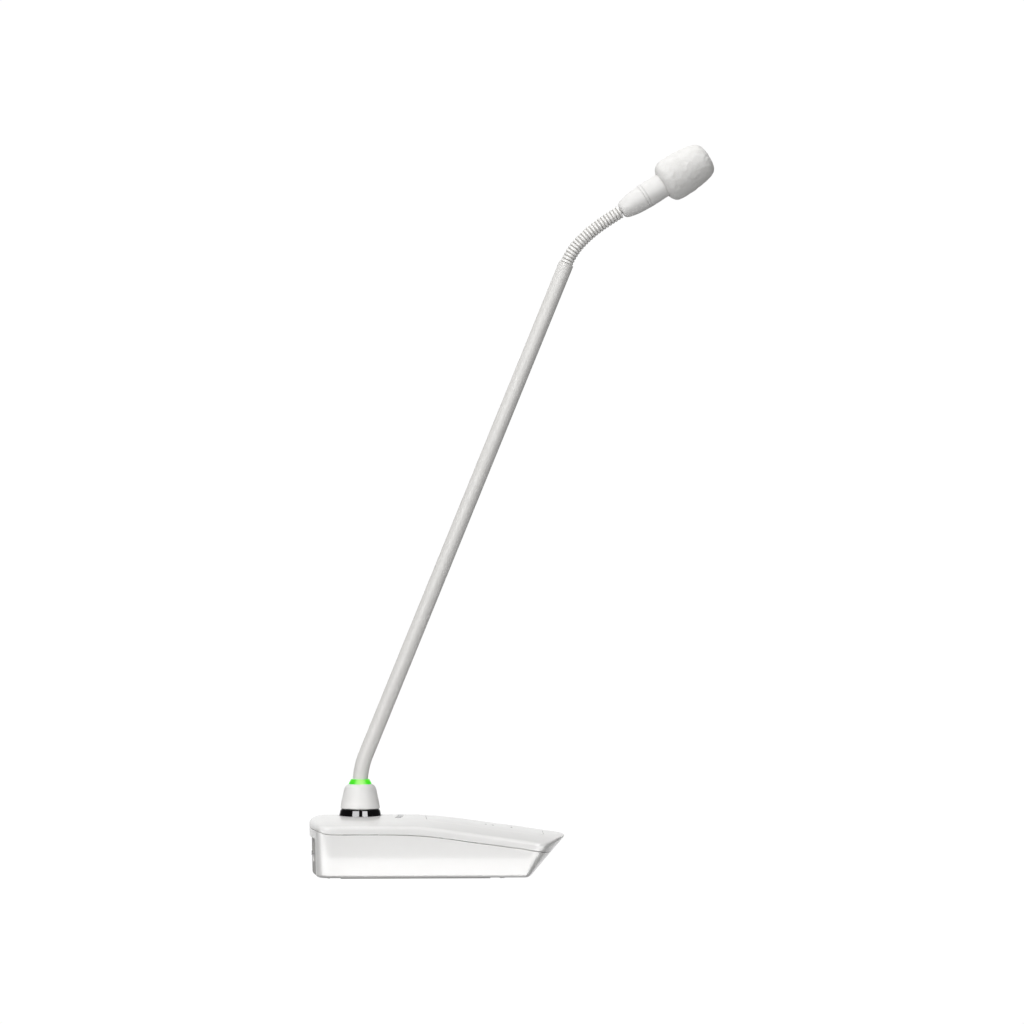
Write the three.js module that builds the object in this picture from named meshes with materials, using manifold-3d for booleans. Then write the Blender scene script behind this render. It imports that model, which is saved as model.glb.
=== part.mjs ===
// Gooseneck podium microphone on a wireless desk base.
// Millimetres, +Z up. Origin on the desk plane, under the axis of the stem socket. +X points to the base's front edge.
import * as THREE from 'three';
import { mergeVertices } from 'three/addons/utils/BufferGeometryUtils.js';
import Module from 'manifold-3d';

const wasm = await Module();
wasm.setup();

// ---------- driving dimensions ----------
const HALF_WIDTH = 35.5;              // base half width at the top edge
const REAR_X = -24.6, FRONT_X = 99.4; // base ends on the centre line, at the top edge
const REAR_BOW_R = 155, FRONT_BOW_R = 65;
const REAR_CORNER_R = 7, FRONT_CORNER_R = 9;
const HOUSING_BOTTOM = 0.6;           // the pad stands this far proud of the housing
const UNDERCUT = 16.8, UNDERCUT_Z = 19; // the front face leans back this far from its top edge to the desk
const WALL = 2.0, FLOOR_TOP = 3.4;
const EDGE_R = 1.4, BOTTOM_R = 1.6;
const SEAM_GAP = 0.3;
// height of the top along the centre line, its drop from the centre line to the side, and the parting line's height
const RIDGE = [[-25, 29.06], [0, 29.06], [15, 29.06], [25.1, 28.97], [32.9, 28.55], [40.7, 27.9], [48.5, 27.0], [56.3, 25.9], [64, 24.86], [71.8, 23.8], [79.6, 22.7], [87.4, 21.5], [95.2, 20.35], [100, 19.6]];
const CROWN = [[-25, 3.6], [20, 3.6], [32, 4.0], [45, 4.5], [58, 4.7], [85, 4.8], [100, 4.8]];
const SEAM = [[-30, 24.4], [-24.6, 23.4], [-20.7, 22.7], [-18, 21.9], [-14.7, 21.45], [-8, 21.35], [10, 21.35], [20, 21.2], [28.7, 20.7], [40, 19.5], [53, 17.6], [66, 15.9], [77.7, 14.3], [85, 13.0], [93, 11.6], [104, 9.8]];
const BUTTON_X0 = 32, BUTTON_X1 = 88, BUTTON_HALF = 21, BUTTON_R = 6, BUTTON_GAP = 0.35;
const WINDOW_X = 19.75, WINDOW_W = 2.4, WINDOW_ARC_R = 46, WINDOW_HALF = 14;
const SCREWS = [[-12, -26.5], [-12, 26.5], [64, -26.5], [64, 26.5]];
const BAY_HALF = 27, BAY_TOP = 19.2, BAY_DEPTH = 1.0, BAY_R = 3.5;
const TUBE_R = 3.68, TUBE_BORE = 2.7, LEAN = 22.22, BEND_R = 38, BEND_Z = 43.97, TUBE_END_Z = 296.8;
const NECK_LENGTH = 37.53, NECK_EASE = 2.06, HEAD_ANGLE = 57.78, NECK_R = 3.15, LINKS = 10;
const HEAD_REAR = -1.7, FOAM_START = 21.9, FOAM_END = 48.9;
const HEAD_POINT = [128.4, 323.3];    // x, z of the point that the head's own lengths are counted from

// ---------- helpers ----------
const rad = (d) => (d * Math.PI) / 180;

// smooth curve through a table of [x, value]
function curve(table, x) {
  const n = table.length;
  if (x <= table[0][0]) return table[0][1];
  if (x >= table[n - 1][0]) return table[n - 1][1];
  let i = 0;
  while (x > table[i + 1][0]) i += 1;
  const slope = (k) => {
    if (k <= 0 || k >= n - 1) return 0;
    const a = (table[k][1] - table[k - 1][1]) / (table[k][0] - table[k - 1][0]);
    const b = (table[k + 1][1] - table[k][1]) / (table[k + 1][0] - table[k][0]);
    return a * b <= 0 ? 0 : (2 * a * b) / (a + b);
  };
  const h = table[i + 1][0] - table[i][0];
  const t = (x - table[i][0]) / h;
  return table[i][1] * (1 + 2 * t) * (1 - t) ** 2 + table[i + 1][1] * t * t * (3 - 2 * t)
    + h * slope(i) * t * (1 - t) ** 2 - h * slope(i + 1) * t * t * (1 - t);
}

// merge shared vertices, drop collapsed triangles and point the faces out
function clean(geometry) {
  const g = geometry.clone();
  g.deleteAttribute('normal');
  g.deleteAttribute('uv');
  const m = mergeVertices(g, 1e-4);
  const p = m.attributes.position.array;
  const src = m.index.array;
  const idx = [];
  for (let i = 0; i < src.length; i += 3) {
    const [a, b, c] = [src[i], src[i + 1], src[i + 2]];
    if (a !== b && b !== c && a !== c) idx.push(a, b, c);
  }
  let volume = 0;
  for (let i = 0; i < idx.length; i += 3) {
    const [a, b, c] = [idx[i] * 3, idx[i + 1] * 3, idx[i + 2] * 3];
    volume += p[a] * (p[b + 1] * p[c + 2] - p[b + 2] * p[c + 1])
      - p[a + 1] * (p[b] * p[c + 2] - p[b + 2] * p[c])
      + p[a + 2] * (p[b] * p[c + 1] - p[b + 1] * p[c]);
  }
  if (volume < 0) for (let i = 0; i < idx.length; i += 3) [idx[i + 1], idx[i + 2]] = [idx[i + 2], idx[i + 1]];
  const out = new THREE.BufferGeometry();
  out.setAttribute('position', new THREE.BufferAttribute(new Float32Array(p), 3));
  out.setIndex(idx);
  return out;
}

function solid(geometry) {
  const g = clean(geometry);
  return new wasm.Manifold(new wasm.Mesh({
    numProp: 3,
    vertProperties: new Float32Array(g.attributes.position.array),
    triVerts: new Uint32Array(g.index.array),
  }));
}

function geometryOf(manifold) {
  const mesh = manifold.getMesh();
  const g = new THREE.BufferGeometry();
  g.setAttribute('position', new THREE.BufferAttribute(new Float32Array(mesh.vertProperties), 3));
  g.setIndex(Array.from(mesh.triVerts));
  return g;
}

function boxG(x0, x1, y0, y1, z0, z1) {
  return new THREE.BoxGeometry(x1 - x0, y1 - y0, z1 - z0).translate((x0 + x1) / 2, (y0 + y1) / 2, (z0 + z1) / 2);
}

function cylG(r, z0, z1, x = 0, y = 0, n = 16, turn = 0) {
  return new THREE.CylinderGeometry(r, r, z1 - z0, n).rotateX(Math.PI / 2).rotateZ(turn).translate(x, y, (z0 + z1) / 2);
}

// cylinder along X
function rodX(r, x0, x1, y, z, n = 16) {
  return new THREE.CylinderGeometry(r, r, x1 - x0, n).rotateZ(Math.PI / 2).translate((x0 + x1) / 2, y, z);
}

// profile of [radius, height] turned about Z
function turned(profile, n = 20) {
  return new THREE.LatheGeometry(profile.map(([r, z]) => new THREE.Vector2(r, z)), n).rotateX(Math.PI / 2);
}

function prismG(points, z0, z1) {
  const shape = new THREE.Shape(points.map(([x, y]) => new THREE.Vector2(x, y)));
  return new THREE.ExtrudeGeometry(shape, { depth: z1 - z0, bevelEnabled: false, curveSegments: 1 }).translate(0, 0, z0);
}

function roundedRect(x0, x1, y0, y1, r, n = 4) {
  const pts = [];
  const corner = (cx, cy, a0) => {
    for (let i = 0; i <= n; i += 1) pts.push([cx + r * Math.cos(rad(a0 + (90 * i) / n)), cy + r * Math.sin(rad(a0 + (90 * i) / n))]);
  };
  corner(x1 - r, y1 - r, 0);
  corner(x0 + r, y1 - r, 90);
  corner(x0 + r, y0 + r, 180);
  corner(x1 - r, y0 + r, 270);
  return pts;
}

// closed skin over rings of equal point count, each end closed with a fan
function loft(rings) {
  const n = rings[0].length;
  const pos = [];
  const idx = [];
  for (const ring of rings) for (const p of ring) pos.push(...p);
  for (let k = 0; k < rings.length - 1; k += 1) {
    for (let i = 0; i < n; i += 1) {
      const a = k * n + i, b = k * n + ((i + 1) % n), c = a + n, d = b + n;
      idx.push(a, b, d, a, d, c);
    }
  }
  const cap = (ring, base, flip) => {
    const mid = [0, 1, 2].map((j) => ring.reduce((s, p) => s + p[j], 0) / n);
    const m = pos.length / 3;
    pos.push(...mid);
    for (let i = 0; i < n; i += 1) {
      const a = base + i, b = base + ((i + 1) % n);
      if (flip) idx.push(m, b, a); else idx.push(m, a, b);
    }
  };
  cap(rings[0], 0, true);
  cap(rings[rings.length - 1], (rings.length - 1) * n, false);
  const g = new THREE.BufferGeometry();
  g.setAttribute('position', new THREE.BufferAttribute(new Float32Array(pos), 3));
  g.setIndex(idx);
  return g;
}

const group = new THREE.Group();
const materials = {
  white: ['#efedea', 0.35, 0], whiteSoft: ['#f1efeb', 0.95, 0], dark: ['#17181a', 0.25, 0], chrome: ['#2a2a2c', 0.12, 1],
  green: ['#73f11a', 0.4, 0], rubber: ['#3a3b3d', 0.8, 0], board: ['#1f5a36', 0.6, 0], steel: ['#b4b6b8', 0.35, 1],
  gold: ['#c9a24a', 0.35, 1], black: ['#202124', 0.6, 0], battery: ['#5d6a78', 0.5, 0], tube: ['#dddbd7', 0.3, 0],
  silicone: ['#c9c9c6', 0.8, 0],
};

function add(name, shape, material, parent = group) {
  const geometry = shape.isBufferGeometry ? clean(shape) : geometryOf(shape);
  geometry.computeVertexNormals();
  const [color, roughness, metalness] = materials[material];
  const mesh = new THREE.Mesh(geometry, new THREE.MeshStandardMaterial({ color, roughness, metalness }));
  mesh.name = name;
  parent.add(mesh);
  return mesh;
}

// ---------- outer form of the base ----------
const topZ = (x, y) => curve(RIDGE, x) - curve(CROWN, x) * (y / HALF_WIDTH) ** 2 - (x < -17 ? 0.041 * (x + 17) ** 2 : 0);

// plan outline at the top edge as [x, y, normal x, normal y], anticlockwise from the rear centre
function planOutline() {
  const tangentY = (bowR, r) => {
    let y = HALF_WIDTH - r;
    for (let i = 0; i < 60; i += 1) y = HALF_WIDTH - r + (r * (y / bowR)) / Math.hypot(1, y / bowR);
    return y;
  };
  const ry = tangentY(REAR_BOW_R, REAR_CORNER_R), fy = tangentY(FRONT_BOW_R, FRONT_CORNER_R);
  const rearBow = (y) => {
    const k = Math.hypot(1, y / REAR_BOW_R);
    return [REAR_X + (y * y) / (2 * REAR_BOW_R), y, -1 / k, y / REAR_BOW_R / k];
  };
  const frontBow = (y) => {
    const k = Math.hypot(1, y / FRONT_BOW_R);
    return [FRONT_X - (y * y) / (2 * FRONT_BOW_R), y, 1 / k, y / FRONT_BOW_R / k];
  };
  const half = [];
  for (let i = 0; i <= 2; i += 1) half.push(rearBow((-ry * i) / 2));
  const rb = rearBow(-ry), rc = [rb[0] - REAR_CORNER_R * rb[2], rb[1] - REAR_CORNER_R * rb[3]];
  const ra = Math.atan2(rb[3], rb[2]);
  const fromRear = ra < 0 ? ra + 2 * Math.PI : ra;
  for (let i = 1; i <= 3; i += 1) {
    const a = fromRear + ((1.5 * Math.PI - fromRear) * i) / 3;
    half.push([rc[0] + REAR_CORNER_R * Math.cos(a), rc[1] + REAR_CORNER_R * Math.sin(a), Math.cos(a), Math.sin(a)]);
  }
  const fb = frontBow(-fy), fc = [fb[0] - FRONT_CORNER_R * fb[2], fb[1] - FRONT_CORNER_R * fb[3]];
  for (let i = 1; i < 7; i += 1) half.push([rc[0] + ((fc[0] - rc[0]) * i) / 7, -HALF_WIDTH, 0, -1]);
  const fa = Math.atan2(fb[3], fb[2]);
  for (let i = 0; i <= 4; i += 1) {
    const a = -Math.PI / 2 + ((fa + Math.PI / 2) * i) / 4;
    half.push([fc[0] + FRONT_CORNER_R * Math.cos(a), fc[1] + FRONT_CORNER_R * Math.sin(a), Math.cos(a), Math.sin(a)]);
  }
  for (let i = 2; i >= 0; i -= 1) half.push(frontBow((-fy * i) / 3));
  const other = half.slice(1, -1).reverse().map(([x, y, nx, ny]) => [x, -y, nx, -ny]);
  return half.concat(other);
}
const OUTLINE = planOutline();

// a point of the outline, set in by `inset` and moved for the undercut front and the drafted sides at height z
function wallPoint([x, y, nx, ny], inset, z) {
  let px = x - nx * inset;
  const py = (y - ny * inset) * (1 - 0.0197 * Math.max(0, 1 - z / 20));
  const lean = UNDERCUT * Math.max(0, 1 - z / UNDERCUT_Z);
  if (px > 84) px -= lean * Math.min(1, 0.38 + (0.62 * (px - 84)) / 15.4);
  else if (px > 60) px -= (lean * 0.38 * (px - 60)) / 24;
  if (px < 0) px += 0.5 * Math.max(0, 1 - z / 24) * Math.min(1, -px / 20);
  return [px, py, z];
}

function baseSolid({ inset, bottom, top, round }) {
  const rings = [];
  if (round) {
    rings.push(OUTLINE.map((o) => wallPoint(o, inset + BOTTOM_R, bottom)));
    rings.push(OUTLINE.map((o) => wallPoint(o, inset + BOTTOM_R * 0.3, bottom + BOTTOM_R * 0.3)));
  }
  const low = round ? bottom + BOTTOM_R : bottom;
  const edge = (o) => topZ(o[0] - o[2] * inset, o[1] - o[3] * inset) - top - (round ? EDGE_R : 0);
  for (const t of [0, 0.5, 1]) rings.push(OUTLINE.map((o) => wallPoint(o, inset, low + (edge(o) - low) * t)));
  if (round) {
    for (const t of [0.35, 1]) {
      rings.push(OUTLINE.map((o) => {
        const z = topZ(o[0] - o[2] * EDGE_R * t, o[1] - o[3] * EDGE_R * t) - EDGE_R * (1 - Math.sqrt(1 - (1 - t) ** 2));
        const [x, y] = wallPoint(o, inset + EDGE_R * t, z);
        return [x, y, z];
      }));
    }
  }
  const last = rings[rings.length - 1];
  for (const s of [0.86, 0.62, 0.32]) {
    rings.push(last.map(([x, y]) => {
      const px = 37 + (x - 37) * s, py = y * s;
      return [px, py, topZ(px, py) - top];
    }));
  }
  return solid(loft(rings));
}

// everything under the parting line, moved up or down by dz
function underSeam(dz) {
  const pts = [[-40, -5], [120, -5], [120, curve(SEAM, 104) + dz]];
  for (let x = 104; x >= -30; x -= 3) pts.push([x, curve(SEAM, x) + dz]);
  pts.push([-40, curve(SEAM, -30) + dz]);
  const shape = new THREE.Shape(pts.map(([x, z]) => new THREE.Vector2(x, z)));
  const g = new THREE.ExtrudeGeometry(shape, { depth: 100, bevelEnabled: false }).translate(0, 0, -50).rotateX(Math.PI / 2);
  return solid(g);
}

const outer = baseSolid({ inset: 0, bottom: HOUSING_BOTTOM, top: 0, round: true });
const inner = baseSolid({ inset: WALL, bottom: FLOOR_TOP, top: WALL, round: false });

// ---------- lower housing ----------
{
  const bay = new THREE.ExtrudeGeometry(
    new THREE.Shape(roundedRect(-BAY_HALF, BAY_HALF, -12, BAY_TOP, BAY_R).map(([y, z]) => new THREE.Vector2(y, z))),
    { depth: 30, bevelEnabled: false },
  ).applyMatrix4(new THREE.Matrix4().makeBasis(new THREE.Vector3(0, 1, 0), new THREE.Vector3(0, 0, 1), new THREE.Vector3(1, 0, 0))).translate(-45, 0, 0);
  const behind = baseSolid({ inset: BAY_DEPTH, bottom: -1, top: -4, round: false });
  let housing = outer.intersect(underSeam(-SEAM_GAP / 2)).subtract(inner);
  for (const [x, y] of SCREWS) housing = housing.add(solid(cylG(3.3, 1.2, 12, x, y, 12)));
  for (const x of [44, 68]) for (const y of [-19, 19]) housing = housing.add(solid(cylG(1.8, 2, 16.1, x, y, 8)));
  housing = housing.subtract(solid(bay).subtract(behind));
  for (const [x, y] of SCREWS) {
    housing = housing.subtract(solid(cylG(2.9, -1, 3.6, x, y, 12))).subtract(solid(cylG(1.4, 3, 13, x, y, 8)));
  }
  housing = housing.subtract(solid(prismG(roundedRect(-17.3, 70.3, -29.3, 29.3, 6.3, 3), -1, 1.5)));
  for (const y of [-5, 0, 5]) housing = housing.subtract(solid(cylG(1.8, 0, 5, -12, y, 10)));
  housing = housing.subtract(solid(boxG(-27, -18, -16.2, -7.8, 7.5, 11.3)));
  housing = housing.subtract(solid(rodX(3.2, -27, -18, 0, 10.6, 12)));
  housing = housing.subtract(solid(boxG(-27, -18, 8.2, 15.8, 8.6, 11.4)));
  add('lower_housing', housing, 'white');
}

// ---------- top cover ----------
const windowArc = (w, half, grow) => {
  const cx = WINDOW_X - WINDOW_ARC_R, a = Math.asin(half / WINDOW_ARC_R), pts = [];
  for (let i = 0; i <= 4; i += 1) { const t = -a + (2 * a * i) / 4; pts.push([cx + (WINDOW_ARC_R + w / 2 + grow) * Math.cos(t), (WINDOW_ARC_R + w / 2) * Math.sin(t) * (1 + grow / half)]); }
  for (let i = 4; i >= 0; i -= 1) { const t = -a + (2 * a * i) / 4; pts.push([cx + (WINDOW_ARC_R - w / 2 - grow) * Math.cos(t), (WINDOW_ARC_R - w / 2) * Math.sin(t) * (1 + grow / half)]); }
  return pts;
};
{
  let cover = outer.subtract(inner).subtract(underSeam(SEAM_GAP / 2));
  for (const [x, y] of SCREWS) {
    cover = cover.add(solid(cylG(3.0, 12.4, topZ(x, y) - 1, x, y, 12)));
    cover = cover.subtract(solid(cylG(1.3, 12, 20, x, y, 8)));
  }
  cover = cover.subtract(solid(cylG(10.6, 28.2, 32, 0, 0, 24))).subtract(solid(cylG(9.0, 20, 32, 0, 0, 20)));
  cover = cover.subtract(solid(prismG(windowArc(WINDOW_W, WINDOW_HALF, 0.3), 22, 32)));
  cover = cover.subtract(solid(prismG(roundedRect(BUTTON_X0 - BUTTON_GAP, BUTTON_X1 + BUTTON_GAP, -BUTTON_HALF - BUTTON_GAP, BUTTON_HALF + BUTTON_GAP, BUTTON_R + BUTTON_GAP, 3), 14, 32)));
  add('top_cover', cover, 'white');
  const under = baseSolid({ inset: 0, bottom: -1, top: 1.7, round: false });
  add('status_window', outer.subtract(under).intersect(solid(prismG(windowArc(WINDOW_W, WINDOW_HALF, 0), 20, 32))), 'dark');
}

// ---------- press button with its retaining flange, and the three light pipes in it ----------
{
  const low33 = baseSolid({ inset: 0, bottom: -1, top: 3.3, round: false });
  const low23 = baseSolid({ inset: 0, bottom: -1, top: 2.3, round: false });
  const rr = (g, n = 3) => solid(prismG(roundedRect(BUTTON_X0 - g, BUTTON_X1 + g, -BUTTON_HALF - g, BUTTON_HALF + g, BUTTON_R + g, n), 15, 34));
  let button = outer.subtract(low33).intersect(rr(0)).add(low23.subtract(low33).intersect(rr(1.2)));
  const pipes = [[60.5, -10], [64, -10], [73, -10]];
  pipes.forEach(([x, y], i) => {
    button = button.subtract(solid(cylG(1.0, 15, 34, x, y, 10)));
    add(`status_led_${i + 1}`, outer.subtract(low33).intersect(solid(cylG(0.65, 15, 34, x, y, 10))), 'dark');
  });
  add('mute_button', button, 'white');
  let keypad = solid(boxG(40, 68, -14, 14, 17.9, 18.4));
  for (const x of [46, 61]) keypad = keypad.add(solid(turned([[0, 18.2], [3.4, 18.2], [2.1, 20.4], [0, 20.4]], 12).translate(x, 0, 0)));
  add('button_keypad', keypad, 'silicone');
  add('button_board', boxG(39, 72, -20.5, 20.5, 16.4, 17.6), 'board');
}

// ---------- underside ----------
{
  let pad = solid(prismG(roundedRect(-17, 70, -29, 29, 6, 3), 0, 1.2));
  for (const [x, y] of SCREWS) pad = pad.subtract(solid(cylG(3.2, -1, 2, x, y, 12)));
  pad = pad.subtract(solid(boxG(-14.5, -9.5, -8, 8, -1, 2)));
  add('anti_slip_pad', pad, 'rubber');
  SCREWS.forEach(([x, y], i) => {
    const head = solid(cylG(2.5, 1.6, 3.2, x, y, 12)).subtract(solid(cylG(1.1, 1, 2.4, x, y, 6)));
    add(`base_screw_${i + 1}`, head.add(solid(cylG(0.95, 3, 18, x, y, 8))), 'steel');
  });
  [-5, 0, 5].forEach((y, i) => add(`charge_contact_${i + 1}`, solid(cylG(1.4, 0.7, 5.6, -12, y, 10)), 'gold'));
}

// ---------- electronics in the base ----------
{
  add('main_circuit_board', boxG(-20.2, 37, -21, 21, 6, 7.6), 'board');
  add('battery_pack', boxG(40, 71.5, -16, 16, 3.9, 11.9), 'battery');
  for (const [s, side] of [[-1, 'left'], [1, 'right']]) {
    const foot = s > 0 ? boxG(10, 32, 19.2, 24, 7.9, 8.5) : boxG(10, 32, -24, -19.2, 7.9, 8.5);
    const blade = s > 0 ? boxG(10, 32, 23.4, 24, 7.9, 16) : boxG(10, 32, -24, -23.4, 7.9, 16);
    add(`antenna_${side}`, solid(foot).add(solid(blade)), 'steel');
  }
  const usb = solid(boxG(-22.4, -16, -15.6, -8.4, 7.9, 10.9)).subtract(solid(boxG(-23, -17.5, -14.9, -9.1, 8.5, 10.3)));
  add('usb_connector', usb, 'steel');
  const jack = solid(boxG(-21.4, -11, -3.2, 3.2, 7.9, 13.4)).add(solid(rodX(2.8, -22.6, -21, 0, 10.6, 12))).subtract(solid(rodX(1.8, -24, -13, 0, 10.6, 10)));
  add('headphone_jack', jack, 'black');
  add('power_switch_body', boxG(-21.2, -17, 7.6, 16.4, 7.9, 12.1), 'black');
  add('power_switch_slider', boxG(-23.4, -21.5, 8.6, 12.4, 8.9, 11.1), 'dark');
}

// ---------- stem socket ----------
{
  add('socket_barrel', turned([[7.6, 8], [8.6, 8], [8.6, 31.6], [7.6, 31.6], [7.6, 8]], 20), 'steel');
  add('socket_nut', solid(cylG(11.6, 23.6, 26.3, 0, 0, 6)).subtract(solid(cylG(8.95, 23, 27, 0, 0, 20))), 'steel');
  add('pin_carrier', turned([[0, 9], [7.25, 9], [7.25, 12.5], [0, 12.5]], 16), 'black');
  for (let i = 0; i < 6; i += 1) {
    const a = rad(60 * i + 30);
    add(`socket_pin_${i + 1}`, cylG(0.6, 12.8, 19, 3.6 * Math.cos(a), 3.6 * Math.sin(a), 6), 'gold');
  }
  add('socket_ring', turned([[9.0, 28.5], [10.25, 28.5], [10.3, 29.1], [10.05, 29.9], [9.7, 30.9], [9.45, 31.6], [9.2, 32.0], [9.0, 32.0], [9.0, 28.5]], 24), 'chrome');
}

// ---------- collar, light ring and plug, which lift out with the stem ----------
{
  add('collar_skirt', turned([
    [7.5, 32.3], [9.2, 32.3], [9.48, 32.6], [9.45, 33.5], [9.05, 35.6], [8.5, 37.75], [8.0, 39.9], [7.55, 41.6], [7.1, 42.5], [6.5, 43.15], [5.8, 43.55],
    [5.35, 43.65], [5.35, 42.2], [4.1, 42.2], [4.1, 34.1], [7.5, 34.1], [7.5, 32.3]], 20), 'white');
  add('light_ring', turned([[4.0, 43.95], [5.4, 43.95], [5.45, 44.2], [4.85, 45.4], [4.4, 46.1], [4.2, 46.25], [4.0, 46.25], [4.0, 43.95]], 20), 'green');
  add('led_ring_board', turned([[4.2, 42.5], [5.05, 42.5], [5.05, 43.4], [4.2, 43.4], [4.2, 42.5]], 14), 'board');
  add('plug_shell', turned([[6.3, 13.8], [7.2, 13.8], [7.2, 33.8], [4.1, 33.8], [4.1, 32.6], [6.3, 32.6], [6.3, 13.8]], 20), 'steel');
  let insert = solid(turned([[0, 14.2], [6.0, 14.2], [6.0, 25], [0, 25]], 16));
  for (let i = 0; i < 6; i += 1) {
    const a = rad(60 * i + 30);
    insert = insert.subtract(solid(cylG(0.95, 13, 20, 3.6 * Math.cos(a), 3.6 * Math.sin(a), 6)));
  }
  add('plug_insert', insert, 'black');
}

// ---------- stem tube and the cable in it ----------
// stations along the stem's centre line as [x, z, angle from vertical in degrees]
function stemStations(z0, endZ, steps) {
  const out = [[0, z0, 0]];
  const cx = BEND_R;
  for (let i = 0; i <= steps; i += 1) {
    const a = (LEAN * i) / steps;
    out.push([cx - BEND_R * Math.cos(rad(a)), BEND_Z + BEND_R * Math.sin(rad(a)), a]);
  }
  const [x, z] = out[out.length - 1];
  for (let i = 1; i <= 3; i += 1) {
    const d = (((endZ - z) / Math.cos(rad(LEAN))) * i) / 3;
    out.push([x + d * Math.sin(rad(LEAN)), z + d * Math.cos(rad(LEAN)), LEAN]);
  }
  return out;
}
const ringAt = ([x, z, a], r, n) => Array.from({ length: n }, (_, i) => {
  const t = (2 * Math.PI * i) / n;
  const u = r * Math.cos(t), v = r * Math.sin(t);
  return [x + u * Math.cos(rad(a)), v, z - u * Math.sin(rad(a))];
});
const tubeStations = stemStations(27.5, TUBE_END_Z, 5);
{
  const rings = (r, n) => tubeStations.map((s) => ringAt(s, r, n));
  const bore = rings(TUBE_BORE, 10);
  const extend = (s, d) => [s[0] + d * Math.sin(rad(s[2])), s[1] + d * Math.cos(rad(s[2])), s[2]];
  const first = extend(tubeStations[0], -1), last = extend(tubeStations[tubeStations.length - 1], 1);
  bore.unshift(ringAt(first, TUBE_BORE, 10));
  bore.push(ringAt(last, TUBE_BORE, 10));
  // chamfered upper end
  const skin = rings(TUBE_R, 16);
  skin.pop();
  skin.push(ringAt(extend(tubeStations[tubeStations.length - 1], -0.5), TUBE_R, 16));
  skin.push(ringAt(tubeStations[tubeStations.length - 1], TUBE_R - 0.5, 16));
  add('stem_tube', solid(loft(skin)).subtract(solid(loft(bore))), 'tube');
  add('stem_cable', loft(stemStations(27.7, TUBE_END_Z - 1, 5).map((s) => ringAt(s, 1.3, 8))), 'black');
}

// ---------- corrugated neck: ten links on one bending curve ----------
const END = tubeStations[tubeStations.length - 1];
const NECK = [];
{
  const n = 2000;
  let x = END[0], z = END[1];
  NECK.push([x, z, LEAN]);
  for (let i = 0; i < n; i += 1) {
    const a = LEAN + (HEAD_ANGLE - LEAN) * (1 - (1 - (i + 0.5) / n) ** NECK_EASE);
    x += (Math.sin(rad(a)) * NECK_LENGTH) / n;
    z += (Math.cos(rad(a)) * NECK_LENGTH) / n;
    NECK.push([x, z, a]);
  }
}
const neckAt = (s) => NECK[Math.round((s / NECK_LENGTH) * 2000)];
// joint planes: the first just above the tube, the last just under the head
const J0 = 0.25, J1 = NECK_LENGTH - 0.25;
const joints = Array.from({ length: LINKS + 1 }, (_, i) => neckAt(J0 + ((J1 - J0) * i) / LINKS));
for (let i = 0; i < LINKS; i += 1) {
  const [x0, z0] = joints[i], [x1, z1] = joints[i + 1];
  const len = Math.hypot(x1 - x0, z1 - z0);
  const angle = Math.atan2(x1 - x0, z1 - z0);
  const bore = 1.35, near = 0.2;
  const lowCone = Math.tan(rad(i === 0 ? 15 : 7.7)), highCone = Math.tan(rad(i === LINKS - 1 ? 15 : 7.7));
  const lo = near + (NECK_R - bore) * lowCone, hi = len - near - (NECK_R - bore) * highCone;
  const link = turned([
    [bore, near], [NECK_R, lo], [NECK_R - 0.35, (lo + hi) / 2], [NECK_R, hi], [bore, len - near], [bore, near]], 12);
  const mesh = add(`neck_link_${String(i + 1).padStart(2, '0')}`, link, 'tube');
  mesh.position.set(x0, 0, z0);
  mesh.rotation.y = angle;
}

// ---------- microphone head, along its own axis ----------
{
  const head = new THREE.Group();
  head.position.set(HEAD_POINT[0], 0, HEAD_POINT[1]);
  head.rotation.y = rad(HEAD_ANGLE);
  group.add(head);
  add('head_shell', turned([
    [1.4, HEAD_REAR + 0.25], [3.2, HEAD_REAR + 0.25], [3.7, -1.1], [4.4, 0], [4.72, 0.9], [5.02, 2.2], [5.4, 4.0], [5.72, 6.2], [5.92, 8.6], [6.02, 11.1],
    [5.1, 11.1], [4.7, 6.2], [3.6, 2.2], [1.4, 1.0], [1.4, HEAD_REAR + 0.25]], 18), 'white', head);
  add('trim_band', turned([[5.1, 11.4], [6.1, 11.4], [6.15, 12.7], [5.1, 12.7], [5.1, 11.4]], 18), 'white', head);
  add('capsule_housing', turned([[5.1, 13.0], [6.15, 13.0], [6.15, 17], [6.05, 20], [6.05, 38], [5.1, 38], [5.1, 13.0]], 18), 'white', head);
  add('preamp_board', boxG(-3.2, 3.2, -0.5, 0.5, 5, 26), 'board', head);
  add('capsule', turned([[0, 28.5], [4.8, 28.5], [4.8, 36.5], [4.2, 37.2], [0, 37.2]], 16), 'steel', head);
  add('capsule_grille', turned([
    [5.1, 38.3], [6.05, 38.3], [6.05, 40.2], [5.2, 41.4], [0, 41.6], [0, 40.8], [4.8, 40.6], [5.1, 39.9], [5.1, 38.3]], 18), 'dark', head);
  add('windscreen', turned([
    [6.4, FOAM_START], [6.7, FOAM_START], [7.5, 22.4], [8.6, 23.1], [9.5, 23.8], [10.1, 24.8], [10.5, 26.4], [10.7, 28.2], [10.7, 32.8], [10.5, 35.2],
    [10.25, 37.6], [9.9, 40.4], [9.3, 43.4], [8.7, 45.3], [7.9, 46.7], [6.8, 47.7], [5.0, 48.4], [2.6, 48.8], [0, FOAM_END],
    [0, 42.1], [5.5, 41.9], [6.4, 40.6], [6.4, FOAM_START]], 20), 'whiteSoft', head);
}

export default group;
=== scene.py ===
import math

import bpy
import numpy as np
from mathutils import Matrix, Vector
from mathutils.geometry import delaunay_2d_cdt


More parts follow.
